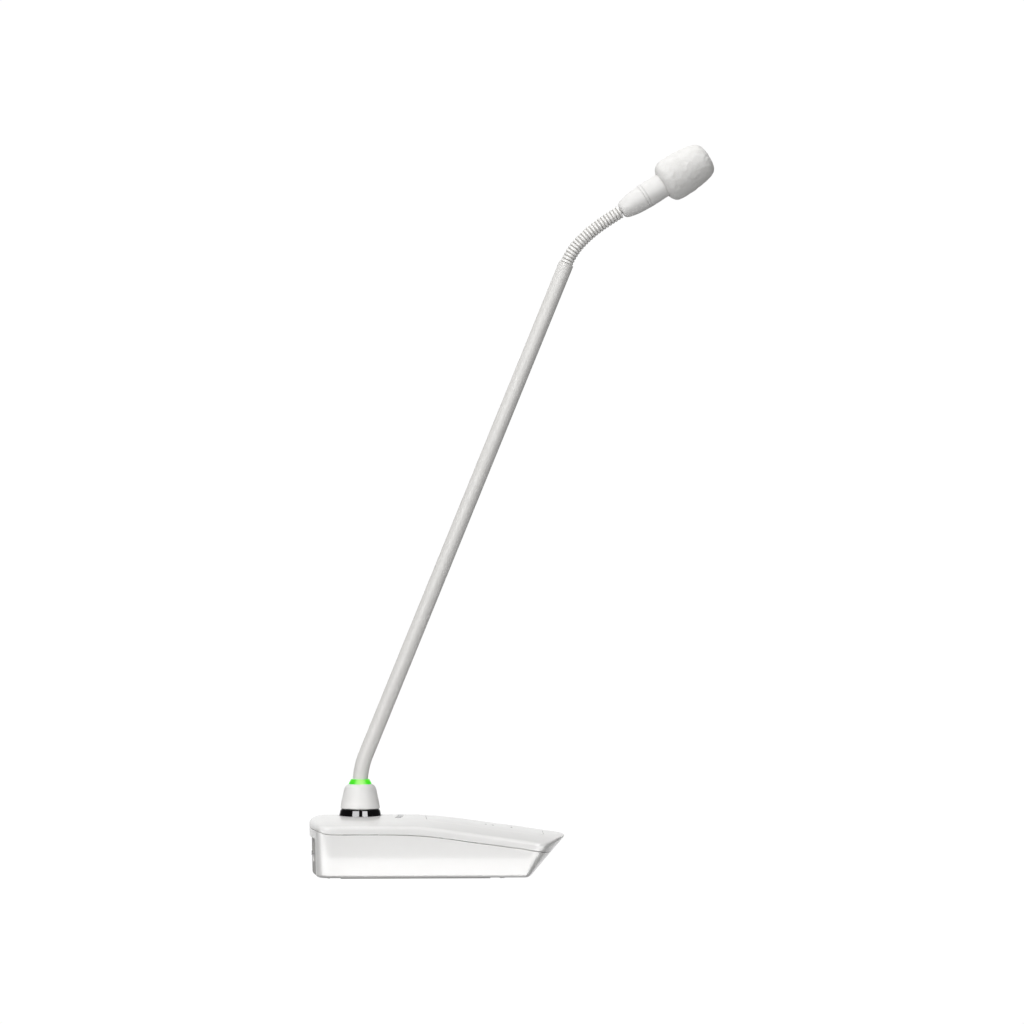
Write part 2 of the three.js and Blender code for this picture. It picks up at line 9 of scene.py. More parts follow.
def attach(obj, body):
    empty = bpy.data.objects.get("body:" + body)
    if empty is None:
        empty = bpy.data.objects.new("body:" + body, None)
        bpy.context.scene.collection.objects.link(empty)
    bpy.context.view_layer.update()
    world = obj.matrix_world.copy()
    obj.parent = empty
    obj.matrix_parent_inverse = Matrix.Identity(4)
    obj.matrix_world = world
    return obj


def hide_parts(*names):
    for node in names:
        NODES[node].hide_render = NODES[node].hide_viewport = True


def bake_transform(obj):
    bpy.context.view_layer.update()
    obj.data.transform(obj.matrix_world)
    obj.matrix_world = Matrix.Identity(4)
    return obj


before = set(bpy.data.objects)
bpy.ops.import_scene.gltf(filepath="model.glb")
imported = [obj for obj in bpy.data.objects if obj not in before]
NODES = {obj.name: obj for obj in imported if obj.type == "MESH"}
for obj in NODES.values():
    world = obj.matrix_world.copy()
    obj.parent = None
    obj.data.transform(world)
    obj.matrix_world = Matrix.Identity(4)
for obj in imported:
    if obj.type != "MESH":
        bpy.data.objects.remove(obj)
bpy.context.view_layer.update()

scene = bpy.context.scene

# ------------------------------------------------------------------ dimensions, millimetres (the CAD's own)
HALF_WIDTH = 35.5
REAR_X, FRONT_X = -24.6, 99.4
REAR_BOW_R, FRONT_BOW_R = 155.0, 65.0
REAR_CORNER_R, FRONT_CORNER_R = 7.0, 9.0
HOUSING_BOTTOM = 0.6
UNDERCUT, UNDERCUT_Z = 16.8, 19.0
WALL, FLOOR_TOP = 2.0, 3.4
EDGE_R, BOTTOM_R = 1.4, 1.6
SEAM_GAP = 0.3
RIDGE = [[-25, 28.84], [0, 28.84], [15, 28.86], [25.1, 28.84], [32.9, 28.5], [40.7, 27.9], [48.5, 27.0], [56.3, 25.9], [64, 24.86], [71.8, 23.8], [79.6, 22.7], [87.4, 21.5], [95.2, 20.35], [100, 19.6]]
CROWN = [[-25, 3.6], [20, 3.6], [32, 4.0], [45, 4.5], [58, 4.7], [85, 4.8], [100, 4.8]]
SEAM = [[-30, 24.4], [-24.6, 23.4], [-20.7, 22.7], [-18, 21.9], [-14.7, 21.45], [-8, 21.35], [10, 21.35], [20, 21.2], [28.7, 20.7], [40, 19.5], [53, 17.6], [66, 15.9], [77.7, 14.3], [85, 13.0], [93, 11.6], [104, 9.8]]
BUTTON_X0, BUTTON_X1, BUTTON_HALF, BUTTON_R, BUTTON_GAP = 32.0, 88.0, 21.0, 6.0, 0.35
WINDOW_X, WINDOW_W, WINDOW_ARC_R, WINDOW_HALF = 19.75, 2.4, 46.0, 14.0
SCREWS = [(-12, -26.5), (-12, 26.5), (64, -26.5), (64, 26.5)]
BAY_HALF, BAY_TOP, BAY_DEPTH, BAY_R = 27.0, 19.2, 1.0, 3.5
TUBE_R, LEAN, BEND_R, BEND_Z, TUBE_END_Z = 3.68, 22.22, 38.0, 43.97, 296.8
NECK_LENGTH, NECK_EASE, HEAD_ANGLE, NECK_R, LINKS = 37.53, 2.06, 57.78, 3.15, 10
HEAD_POINT = (128.4, 323.3)
PIPES = [(60.5, -10.0), (64.0, -10.0), (73.0, -10.0)]
MM = 0.001


# ------------------------------------------------------------------ surfaces of the base
def curve(table, x):
    t = np.array(table, float)
    xs, ys = t[:, 0], t[:, 1]
    d = np.diff(ys) / np.diff(xs)
    m = np.zeros(len(xs))
    a, b = d[:-1], d[1:]
    ok = a * b > 0
    m[1:-1][ok] = 2 * a[ok] * b[ok] / (a[ok] + b[ok])
    x = np.clip(np.asarray(x, float), xs[0], xs[-1])
    i = np.clip(np.searchsorted(xs, x, side="right") - 1, 0, len(xs) - 2)
    h = xs[i + 1] - xs[i]
    u = (x - xs[i]) / h
    return ys[i] * (1 + 2 * u) * (1 - u) ** 2 + ys[i + 1] * u * u * (3 - 2 * u) + h * m[i] * u * (1 - u) ** 2 - h * m[i + 1] * u * u * (1 - u)


def top_z(x, y):
    x, y = np.asarray(x, float), np.asarray(y, float)
    return curve(RIDGE, x) - curve(CROWN, x) * (y / HALF_WIDTH) ** 2 - np.where(x < -17, 0.041 * (x + 17) ** 2, 0.0)


def _tangent(bow, r):
    y = HALF_WIDTH - r
    for _ in range(60):
        y = HALF_WIDTH - r + r * (y / bow) / math.hypot(1, y / bow)
    return y


REAR_Y, FRONT_Y = _tangent(REAR_BOW_R, REAR_CORNER_R), _tangent(FRONT_BOW_R, FRONT_CORNER_R)
_k = math.hypot(1, FRONT_Y / FRONT_BOW_R)
FRONT_C = (FRONT_X - FRONT_Y ** 2 / (2 * FRONT_BOW_R) - FRONT_CORNER_R / _k, -FRONT_Y + FRONT_CORNER_R * FRONT_Y / FRONT_BOW_R / _k)
FRONT_A = math.atan2(-FRONT_Y / FRONT_BOW_R, 1)
_k = math.hypot(1, REAR_Y / REAR_BOW_R)
REAR_C = (REAR_X + REAR_Y ** 2 / (2 * REAR_BOW_R) + REAR_CORNER_R / _k, -REAR_Y + REAR_CORNER_R * REAR_Y / REAR_BOW_R / _k)
REAR_A = math.atan2(-REAR_Y / REAR_BOW_R, -1)
LA = FRONT_Y
LB = FRONT_CORNER_R * (FRONT_A + math.pi / 2)
LC = FRONT_C[0] - REAR_C[0]
LD = REAR_CORNER_R * (-math.pi / 2 - REAR_A)
LE = REAR_Y
S1, S2, S3, S4 = LA, LA + LB, LA + LB + LC, LA + LB + LC + LD
HALF_LEN = S4 + LE


def outline(u):
    """Plan outline as x, y, nx, ny for u from 0 at the front centre, round the -Y side, to the rear centre and back."""
    u = np.asarray(u, float)
    s = np.where(u > HALF_LEN, 2 * HALF_LEN - u, u)
    flip = np.where(u > HALF_LEN, -1.0, 1.0)
    x, y, nx, ny = (np.zeros_like(s) for _ in range(4))
    k = s <= S1
    yy = -s[k]; q = np.hypot(1, yy / FRONT_BOW_R)
    x[k], y[k], nx[k], ny[k] = FRONT_X - yy ** 2 / (2 * FRONT_BOW_R), yy, 1 / q, yy / FRONT_BOW_R / q
    k = (s > S1) & (s <= S2)
    a = FRONT_A - (s[k] - S1) / FRONT_CORNER_R
    x[k], y[k], nx[k], ny[k] = FRONT_C[0] + FRONT_CORNER_R * np.cos(a), FRONT_C[1] + FRONT_CORNER_R * np.sin(a), np.cos(a), np.sin(a)
    k = (s > S2) & (s <= S3)
    x[k], y[k], nx[k], ny[k] = FRONT_C[0] - (s[k] - S2), -HALF_WIDTH, 0, -1
    k = (s > S3) & (s <= S4)
    a = -math.pi / 2 - (s[k] - S3) / REAR_CORNER_R
    x[k], y[k], nx[k], ny[k] = REAR_C[0] + REAR_CORNER_R * np.cos(a), REAR_C[1] + REAR_CORNER_R * np.sin(a), np.cos(a), np.sin(a)
    k = s > S4
    yy = -(HALF_LEN - s[k]); q = np.hypot(1, yy / REAR_BOW_R)
    x[k], y[k], nx[k], ny[k] = REAR_X + yy ** 2 / (2 * REAR_BOW_R), yy, -1 / q, yy / REAR_BOW_R / q
    return np.stack([x, y * flip, nx, ny * flip], 1)


def wall_xy(o, inset, z):
    x, y, nx, ny = o.T
    px = x - nx * inset
    py = (y - ny * inset) * (1 - 0.0197 * np.maximum(0, 1 - z / 20))
    lean = UNDERCUT * np.maximum(0, 1 - z / UNDERCUT_Z)
    px = px - lean * np.where(px > 84, np.minimum(1, 0.38 + 0.62 * (px - 84) / 15.4), np.where(px > 60, 0.38 * (px - 60) / 24, 0))
    px = px + np.where(px < 0, 0.5 * np.maximum(0, 1 - z / 24) * np.minimum(1, -px / 20), 0)
    return px, py


def wall(o, inset, z):
    z = np.broadcast_to(np.asarray(z, float), (len(o),)).copy()
    px, py = wall_xy(o, inset, z)
    return np.stack([px, py, z], 1)


def bay(o, z, depth=BAY_DEPTH, soft=0.55):
    """How far the rear face is set in by the shallow connector bay."""
    y = np.abs(o[:, 1])
    qx, qz = y - (BAY_HALF - BAY_R), z - (BAY_TOP - BAY_R)
    d = np.hypot(np.maximum(qx, 0), np.maximum(qz, 0)) + np.minimum(np.maximum(qx, qz), 0) - BAY_R
    t = np.clip(-d / soft, 0, 1)
    return np.where(o[:, 2] < -0.9, depth * t * t * (3 - 2 * t), 0.0)


def on_top(o, inset, drop):
    """Points at the outline set in by `inset`, lying `drop` under the top surface."""
    z = np.full(len(o), 20.0)
    for _ in range(12):
        px, py = wall_xy(o, inset, z)
        z = top_z(px, py) - drop
    px, py = wall_xy(o, inset, z)
    return np.stack([px, py, z], 1)


def at_seam(o, inset, dz):
    z = np.full(len(o), 18.0)
    for _ in range(12):
        px, _y = wall_xy(o, inset, z)
        z = curve(SEAM, px) + dz
    px, py = wall_xy(o, inset, z)
    return np.stack([px, py, z], 1)


# samples of the outline: dense at the corners and at the bay's edges
def _samples():
    u = list(np.linspace(0, S1, 15)) + list(np.linspace(S1, S2, 15)[1:]) + list(np.linspace(S2, S3, 52)[1:]) + list(np.linspace(S3, S4, 13)[1:])
    ys = [28.0, 27.5, 27.2, 27.05, 26.93, 26.8, 26.68, 26.55, 26.4, 26.1] + list(np.linspace(25, 0, 22))
    u += [HALF_LEN - v for v in ys if HALF_LEN - v > S4 + 0.1]
    u = np.array(u)
    return np.concatenate([u, (2 * HALF_LEN - u[1:-1])[::-1]])


U = _samples()
O = outline(U)
NU = len(U)


# ------------------------------------------------------------------ mesh building
def inside(points, poly):
    x, y = points[:, 0][:, None], points[:, 1][:, None]
    a, b = poly, np.roll(poly, -1, 0)
    ax, ay, bx, by = a[:, 0], a[:, 1], b[:, 0], b[:, 1]
    cross = (ay > y) != (by > y)
    with np.errstate(divide="ignore", invalid="ignore"):
        at = (bx - ax) * (y - ay) / (by - ay) + ax
    return (np.sum(cross & (x < at), 1) % 2).astype(bool)


def fill(outer, holes, step, extra=None):
    """Triangulates the region inside `outer` and outside `holes`; returns 2-D points and triangles."""
    loops = [np.asarray(outer, float)] + [np.asarray(h, float) for h in holes]
    border = np.vstack(loops)
    edges, base = [], 0
    for loop in loops:
        n = len(loop)
        edges += [(base + i, base + (i + 1) % n) for i in range(n)]
        base += n
    lo, hi = loops[0].min(0), loops[0].max(0)
    grid = []
    for j, y in enumerate(np.arange(lo[1] + step * 0.4, hi[1], step * 0.866)):
        grid.append(np.stack([np.arange(lo[0] + (step / 2 if j % 2 else step * 0.1), hi[0], step), np.full(len(np.arange(lo[0] + (step / 2 if j % 2 else step * 0.1), hi[0], step)), y)], 1))
    grid = np.vstack(grid) if grid else np.zeros((0, 2))
    if extra is not None and len(extra):
        far = np.sqrt(((grid[:, None, :] - extra[None, :, :]) ** 2).sum(2)).min(1) > 0.5 * step if len(grid) else []
        grid = grid[far]
        keep_x = np.sqrt(((extra[:, None, :] - border[None, :, :]) ** 2).sum(2)).min(1) > 0.12
        grid_far = np.sqrt(((grid[:, None, :] - border[None, :, :]) ** 2).sum(2)).min(1) > 0.5 * step
        grid = np.vstack([grid[grid_far], extra[keep_x]])
    elif len(grid):
        grid = grid[np.sqrt(((grid[:, None, :] - border[None, :, :]) ** 2).sum(2)).min(1) > 0.5 * step]
    if len(grid):
        ok = inside(grid, loops[0])
        for h in loops[1:]:
            ok &= ~inside(grid, h)
        grid = grid[ok]
    pts = np.vstack([border, grid])
    out = delaunay_2d_cdt([Vector(p) for p in pts], edges, [], 0, 1e-7)
    v = np.array([tuple(p) for p in out[0]], float)
    f = np.array([t for t in out[2] if len(t) == 3], int)
    # keep the exact input coordinates, so that the patches weld
    for i, src in enumerate(out[3]):
        if src:
            v[i] = pts[src[0]]
    c = v[f].mean(1)
    ok = inside(c, loops[0])
    for h in loops[1:]:
        ok &= ~inside(c, h)
    return v, f[ok]


class Skin:
    """Collects patches, then welds them into one closed mesh."""

    def __init__(self):
        self.co, self.faces, self.n = [], [], 0

    def patch(self, pts, faces):
        pts = np.asarray(pts, float)
        self.co.append(pts)
        self.faces += [tuple(int(i) + self.n for i in f) for f in faces]
        self.n += len(pts)

    def rings(self, rings, closed=True):
        """Bridges successive loops of equal point count."""
        n = len(rings[0])
        faces = []
        for k in range(len(rings) - 1):
            for i in range(n if closed else n - 1):
                a, b = k * n + i, k * n + (i + 1) % n
                faces.append((a, b, b + n, a + n))
        self.patch(np.vstack(rings), faces)

    def cap(self, ring):
        """Closes a loop with a fan to its middle."""
        n = len(ring)
        self.patch(np.vstack([ring, ring.mean(0)[None]]), [(i, (i + 1) % n, n) for i in range(n)])

    def build(self, name, material, smooth_deg=38, weighted=True):
        co = np.vstack(self.co)
        key = np.floor(co / 2e-4 + 0.5).astype(np.int64)
        _u, first, back = np.unique(key, axis=0, return_index=True, return_inverse=True)
        back = back.ravel()
        faces, seen = [], set()
        for f in self.faces:
            g = []
            for i in f:
                j = int(back[i])
                if j not in g:
                    g.append(j)
            if len(g) >= 3:
                s = frozenset(g)
                if s not in seen:
                    seen.add(s)
                    faces.append(g)
        mesh = bpy.data.meshes.new(name)
        mesh.from_pydata((co[first] * MM).tolist(), [], faces)
        return finish_mesh(mesh, name, material, smooth_deg, weighted)


def finish_mesh(mesh, name, material, smooth_deg=38, weighted=True):
    import bmesh
    bm = bmesh.new()
    bm.from_mesh(mesh)
    loose = [v for v in bm.verts if not v.link_faces]
    if loose:
        bmesh.ops.delete(bm, geom=loose, context="VERTS")
    bmesh.ops.recalc_face_normals(bm, faces=bm.faces)
    bm.to_mesh(mesh)
    bm.free()
    mesh.polygons.foreach_set("use_smooth", [True] * len(mesh.polygons))
    mesh.set_sharp_from_angle(angle=math.radians(smooth_deg))
    mesh.materials.append(material)
    obj = bpy.data.objects.new(name, mesh)
    scene.collection.objects.link(obj)
    if weighted:
        mod = obj.modifiers.new("weighted", "WEIGHTED_NORMAL")
        mod.mode = "FACE_AREA"
        mod.keep_sharp = True
    return obj


def place(obj, body, nodes):
    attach(obj, body)
    if nodes:
        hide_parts(*nodes)
    return obj


def rounded_rect(x0, x1, y0, y1, r, n=8, side=1.6):
    """Loop function g -> points, where g grows the rectangle outwards."""
    def loop(g=0.0):
        rr = max(r + g, 0.02)
        pts = []
        for cx, cy, a0, in ((x1 - r, y1 - r, 0), (x0 + r, y1 - r, 90), (x0 + r, y0 + r, 180), (x1 - r, y0 + r, 270)):
            for i in range(n + 1):
                a = math.radians(a0 + 90 * i / n)
                pts.append((cx + rr * math.cos(a), cy + rr * math.sin(a)))
        out, m = [], len(pts)
        lens = {}
        for i in range(m):
            p, q = pts[i], pts[(i + 1) % m]
            out.append(p)
            if (i + 1) % (n + 1) == 0:
                base = ((y1 - y0 - 2 * r) if (i + 1) // (n + 1) in (2, 4) else (x1 - x0 - 2 * r))
                k = max(1, int(round(base / side)))
                for j in range(1, k):
                    out.append((p[0] + (q[0] - p[0]) * j / k, p[1] + (q[1] - p[1]) * j / k))
        return np.array(out)
    return loop


def circle(cx, cy, r, n=48, turn=0.0):
    def loop(g=0.0):
        a = np.linspace(0, 2 * math.pi, n, endpoint=False) + turn
        return np.stack([cx + (r + g) * np.cos(a), cy + (r + g) * np.sin(a)], 1)
    return loop


def star(cx, cy, r, wave=0.16, lobes=6, n=48):
    """A six-lobed screw recess."""
    def loop(g=0.0):
        a = np.linspace(0, 2 * math.pi, n, endpoint=False)
        q = (r + g) * (1 + wave * np.cos(lobes * a))
        return np.stack([cx + q * np.cos(a), cy + q * np.sin(a)], 1)
    return loop


def window_arc(w, half, n=28):
    cx = WINDOW_X - WINDOW_ARC_R

    def loop(g=0.0):
        a = math.asin(half / WINDOW_ARC_R)
        hw = w / 2 + g
        er = w / 2 + g
        pts = []
        for t in np.linspace(-a, a, n):
            pts.append((cx + (WINDOW_ARC_R + hw) * math.cos(t), (WINDOW_ARC_R + hw) * math.sin(t)))
        for b in np.linspace(0, math.pi, 9)[1:-1]:
            ex, ey = cx + WINDOW_ARC_R * math.cos(a), WINDOW_ARC_R * math.sin(a)
            dx, dy = math.cos(a), math.sin(a)
            pts.append((ex + er * (math.cos(b) * dx - math.sin(b) * dy), ey + er * (math.cos(b) * dy + math.sin(b) * dx)))
        for t in np.linspace(a, -a, n):
            pts.append((cx + (WINDOW_ARC_R - hw) * math.cos(t), (WINDOW_ARC_R - hw) * math.sin(t)))
        for b in np.linspace(math.pi, 2 * math.pi, 9)[1:-1]:
            ex, ey = cx + WINDOW_ARC_R * math.cos(-a), WINDOW_ARC_R * math.sin(-a)
            dx, dy = math.cos(-a), math.sin(-a)
            pts.append((ex + er * (math.cos(b) * dx - math.sin(b) * dy), ey + er * (math.cos(b) * dy + math.sin(b) * dx)))
        return np.array(pts)
    return loop


def lift(xy, zf):
    xy = np.asarray(xy, float)
    z = zf(xy[:, 0], xy[:, 1]) if callable(zf) else np.full(len(xy), float(zf))
    return np.stack([xy[:, 0], xy[:, 1], z], 1)


def offset_z(zf, d):
    return (lambda x, y: zf(x, y) + d) if callable(zf) else zf + d


def edge_rings(loop, zf, r, sign, hole, steps=4):
    """Rings that round an edge of radius r, from the flat (first) to the wall (last). sign -1 goes down from the top face."""
    rings = []
    for a in np.linspace(0, math.pi / 2, steps + 1):
        g = r * (1 - math.sin(a)) * (1 if hole else -1)
        rings.append(lift(loop(g), offset_z(zf, sign * r * (1 - math.cos(a)))))
    return rings


def slab(name, material, outer, holes, top, bottom, r_top, r_bot, step):
    """A plate between two height functions, with rounded edges and holes."""
    s = Skin()
    for zf, r, sign in ((top, r_top, -1), (bottom, r_bot, 1)):
        v, f = fill(outer(-r), [h(r) for h in holes], step)
        s.patch(lift(v, zf), f)
    for loop, hole in [(outer, False)] + [(h, True) for h in holes]:
        up = edge_rings(loop, top, r_top, -1, hole)
        down = edge_rings(loop, bottom, r_bot, 1, hole)
        s.rings(up + down[::-1])
    return s.build(name, material)


def rounded_profile(points, default=0.0, closed=True, n=4):
    """Points as (r, z) or (r, z, fillet) with each corner rounded by its fillet."""
    pts = [(p[0], p[1], p[2] if len(p) > 2 else default) for p in points]
    out, m = [], len(pts)
    for i, (x, y, f) in enumerate(pts):
        if not closed and i in (0, m - 1) or f <= 0:
            out.append((x, y))
            continue
        a, b = pts[i - 1], pts[(i + 1) % m]
        va, vb = Vector((a[0] - x, a[1] - y)), Vector((b[0] - x, b[1] - y))
        if va.length < 1e-6 or vb.length < 1e-6:
            out.append((x, y))
            continue
        ang = va.angle(vb)
        if ang > math.radians(176):
            out.append((x, y))
            continue
        d = min(f / math.tan(ang / 2), va.length * 0.48, vb.length * 0.48)
        p0, p1 = Vector((x, y)) + va.normalized() * d, Vector((x, y)) + vb.normalized() * d
        for k in range(n + 1):
            t = k / n
            q = (1 - t) ** 2 * p0 + 2 * t * (1 - t) * Vector((x, y)) + t * t * p1
            out.append((q.x, q.y))
    return out


def frame_matrix(x=0.0, z=0.0, angle=0.0, y=0.0):
    """Local Z leans by `angle` degrees from the vertical towards +X."""
    return np.array(Matrix.Translation((x, y, z)) @ Matrix.Rotation(math.radians(angle), 4, "Y"))


def lathe_rings(profile, n, m=None):
    a = np.linspace(0, 2 * math.pi, n, endpoint=False)
    m = np.eye(4) if m is None else m
    rings = []
    for r, z in profile:
        p = np.stack([r * np.cos(a), r * np.sin(a), np.full(n, z), np.ones(n)], 1)
        rings.append((p @ m.T)[:, :3])
    return rings


def lathe(name, material, profile, n=96, m=None, closed=True, smooth_deg=34, weighted=True):
    """Turns a profile about local Z. A closed profile loops; an open one starts and ends on the axis."""
    s = Skin()
    prof = list(profile)
    if closed:
        prof = prof + [prof[0]]
    s.rings(lathe_rings(prof, n, m))
    return s.build(name, material, smooth_deg, weighted)


def spline_profile(table, steps):
    """Samples r(z) of a [z, r] table smoothly."""
    z = np.concatenate([np.linspace(table[i][0], table[i + 1][0], steps, endpoint=False) for i in range(len(table) - 1)] + [[table[-1][0]]])
    return list(zip(curve(table, z), z))


def box_piece(name, material, x0, x1, y0, y1, z0, z1, r, seg=3):
    """A block with rounded edges, built as a slab."""
    return slab(name, material, rounded_rect(x0, x1, y0, y1, max(r, 0.05), n=4, side=max(1.0, min(x1 - x0, y1 - y0) / 2)), [], z1, z0, min(r, (z1 - z0) * 0.4), min(r, (z1 - z0) * 0.4), max(1.0, min(x1 - x0, y1 - y0) / 3))


# ------------------------------------------------------------------ materials
def new_material(name):
    m = bpy.data.materials.new(name)
    m.use_nodes = True
    nt = m.node_tree
    nt.nodes.clear()
    out = nt.nodes.new("ShaderNodeOutputMaterial")
    bsdf = nt.nodes.new("ShaderNodeBsdfPrincipled")
    nt.links.new(bsdf.outputs[0], out.inputs[0])
    coord = nt.nodes.new("ShaderNodeTexCoord")
    return m, nt, bsdf, coord


def noise(nt, coord, scale, detail=2.0, rough=0.5, stretch=None):
    n = nt.nodes.new("ShaderNodeTexNoise")
    n.inputs["Scale"].default_value = scale
    n.inputs["Detail"].default_value = detail
    n.inputs["Roughness"].default_value = rough
    if stretch:
        mp = nt.nodes.new("ShaderNodeMapping")
        mp.inputs["Scale"].default_value = stretch
        nt.links.new(coord.outputs["Object"], mp.inputs["Vector"])
        nt.links.new(mp.outputs[0], n.inputs["Vector"])
    else:
        nt.links.new(coord.outputs["Object"], n.inputs["Vector"])
    return n.outputs[0]


def remap(nt, value, a, b, lo, hi):
    m = nt.nodes.new("ShaderNodeMapRange")
    for key, v in (("From Min", a), ("From Max", b), ("To Min", lo), ("To Max", hi)):
        m.inputs[key].default_value = v
    nt.links.new(value, m.inputs["Value"])
    return m.outputs[0]


def mix_colour(nt, fac, a, b):
    m = nt.nodes.new("ShaderNodeMix")
    m.data_type = "RGBA"
    nt.links.new(fac, m.inputs["Factor"])
    for sock, v in ((m.inputs[6], a), (m.inputs[7], b)):
        if isinstance(v, (tuple, list)):
            sock.default_value = (*v, 1.0)
        else:
            nt.links.new(v, sock)
    return m.outputs[2]


def bump(nt, bsdf, height, strength, distance, chain=None):
    b = nt.nodes.new("ShaderNodeBump")
    b.inputs["Strength"].default_value = strength
    b.inputs["Distance"].default_value = distance
    nt.links.new(height, b.inputs["Height"])
    if chain is not None:
        nt.links.new(chain, b.inputs["Normal"])
    nt.links.new(b.outputs[0], bsdf.inputs["Normal"])
    return b.outputs[0]


def edge_mask(nt, lo=0.52, hi=0.62):
    g = nt.nodes.new("ShaderNodeNewGeometry")
    return remap(nt, g.outputs["Pointiness"], lo, hi, 0.0, 1.0)


def moulded(name, base, tint, rough, spread, grain=2600.0, grain_h=0.000006, mottle=55.0, edge=None, coat=0.0, coat_rough=0.1, spec=0.5, sheen=0.0, metallic=0.0, stretch=None, ior=1.5):
    """Moulded or painted surface: faint colour drift, roughness variation, fine grain and a lighter colour on convex
    edges.
    """
    m, nt, bsdf, coord = new_material(name)
    drift = noise(nt, coord, mottle, 3.0, 0.55)
    col = mix_colour(nt, remap(nt, drift, 0.3, 0.7, 0, 1), base, tint)
    if edge:
        col = mix_colour(nt, edge_mask(nt), col, edge)
    nt.links.new(col, bsdf.inputs["Base Color"])
    smudge = noise(nt, coord, mottle * 3.1, 4.0, 0.6)
    nt.links.new(remap(nt, smudge, 0.3, 0.72, rough - spread, rough + spread), bsdf.inputs["Roughness"])
    grain_v = noise(nt, coord, grain, 2.0, 0.5, stretch)
    wave_v = noise(nt, coord, 45.0, 1.0, 0.4)
    n1 = bump(nt, bsdf, wave_v, 0.35, 0.00004)
    bump(nt, bsdf, grain_v, 0.6, grain_h, n1)
    bsdf.inputs["Metallic"].default_value = metallic
    bsdf.inputs["IOR"].default_value = ior
    bsdf.inputs["Specular IOR Level"].default_value = spec
    bsdf.inputs["Coat Weight"].default_value = coat
    bsdf.inputs["Coat Roughness"].default_value = coat_rough
    bsdf.inputs["Sheen Weight"].default_value = sheen
    return m


M = {}
M["white"] = moulded("white_plastic", (0.845, 0.838, 0.826), (0.856, 0.850, 0.839), 0.36, 0.02, grain_h=0.000002, edge=(0.90, 0.895, 0.885), coat=0.5, coat_rough=0.08, spec=0.3)
M["satin"] = moulded("white_satin", (0.775, 0.768, 0.755), (0.787, 0.781, 0.769), 0.48, 0.03, grain_h=0.000003, edge=(0.81, 0.805, 0.795), spec=0.2)
# darker grey copy of the white plastic: painted shade for the recessed connector bay
M["matte"] = moulded("white_matte", (0.56, 0.553, 0.54), (0.58, 0.573, 0.56), 0.75, 0.04, grain=2400, grain_h=0.00001, spec=0.1)
M["tube"] = moulded("painted_tube", (0.70, 0.690, 0.670), (0.715, 0.705, 0.688), 0.46, 0.04, grain=3200, grain_h=0.000005, edge=(0.76, 0.755, 0.74), spec=0.22)
M["chrome"] = moulded("dark_chrome", (0.058, 0.058, 0.059), (0.052, 0.052, 0.053), 0.035, 0.012, grain=5000, grain_h=0.0000006, metallic=1.0, edge=(0.075, 0.075, 0.075))
M["window"] = moulded("dark_window", (0.012, 0.012, 0.013), (0.018, 0.018, 0.019), 0.16, 0.05, grain=4000, grain_h=0.000002, coat=0.3, coat_rough=0.05)
M["rubber"] = moulded("pad_rubber", (0.035, 0.036, 0.038), (0.05, 0.051, 0.053), 0.78, 0.1, grain=2200, grain_h=0.00006, edge=(0.09, 0.09, 0.09), spec=0.35)
M["silicone"] = moulded("silicone", (0.50, 0.50, 0.49), (0.56, 0.56, 0.55), 0.62, 0.08, grain=2400, grain_h=0.00002, spec=0.4)
M["steel"] = moulded("steel", (0.27, 0.272, 0.275), (0.31, 0.31, 0.313), 0.42, 0.06, grain=1400, grain_h=0.000006, metallic=1.0, edge=(0.40, 0.40, 0.40), stretch=(1.0, 1.0, 14.0))
M["gold"] = moulded("gold_contact", (0.78, 0.53, 0.19), (0.70, 0.46, 0.16), 0.24, 0.07, grain=3000, grain_h=0.000004, metallic=1.0, edge=(0.88, 0.68, 0.34))
M["black"] = moulded("black_plastic", (0.017, 0.0175, 0.019), (0.026, 0.0265, 0.028), 0.46, 0.09, grain=2400, grain_h=0.000012, edge=(0.07, 0.07, 0.072))
M["battery"] = moulded("battery_wrap", (0.10, 0.14, 0.19), (0.12, 0.165, 0.22), 0.42, 0.1, grain=900, grain_h=0.00004, edge=(0.3, 0.32, 0.34))


def board_material():
    m, nt, bsdf, coord = new_material("circuit_board")
    weave = nt.nodes.new("ShaderNodeTexBrick")
    weave.inputs["Scale"].default_value = 480.0
    weave.inputs["Color1"].default_value = (0.012, 0.075, 0.03, 1)
    weave.inputs["Color2"].default_value = (0.016, 0.095, 0.04, 1)
    weave.inputs["Mortar"].default_value = (0.03, 0.16, 0.07, 1)
    weave.inputs["Mortar Size"].default_value = 0.018
    nt.links.new(coord.outputs["Object"], weave.inputs["Vector"])
    nt.links.new(weave.outputs["Color"], bsdf.inputs["Base Color"])
    nt.links.new(remap(nt, noise(nt, coord, 300, 3.0), 0.3, 0.7, 0.28, 0.5), bsdf.inputs["Roughness"])
    bump(nt, bsdf, weave.outputs["Fac"], 0.4, 0.00003)
    return m


M["board"] = board_material()


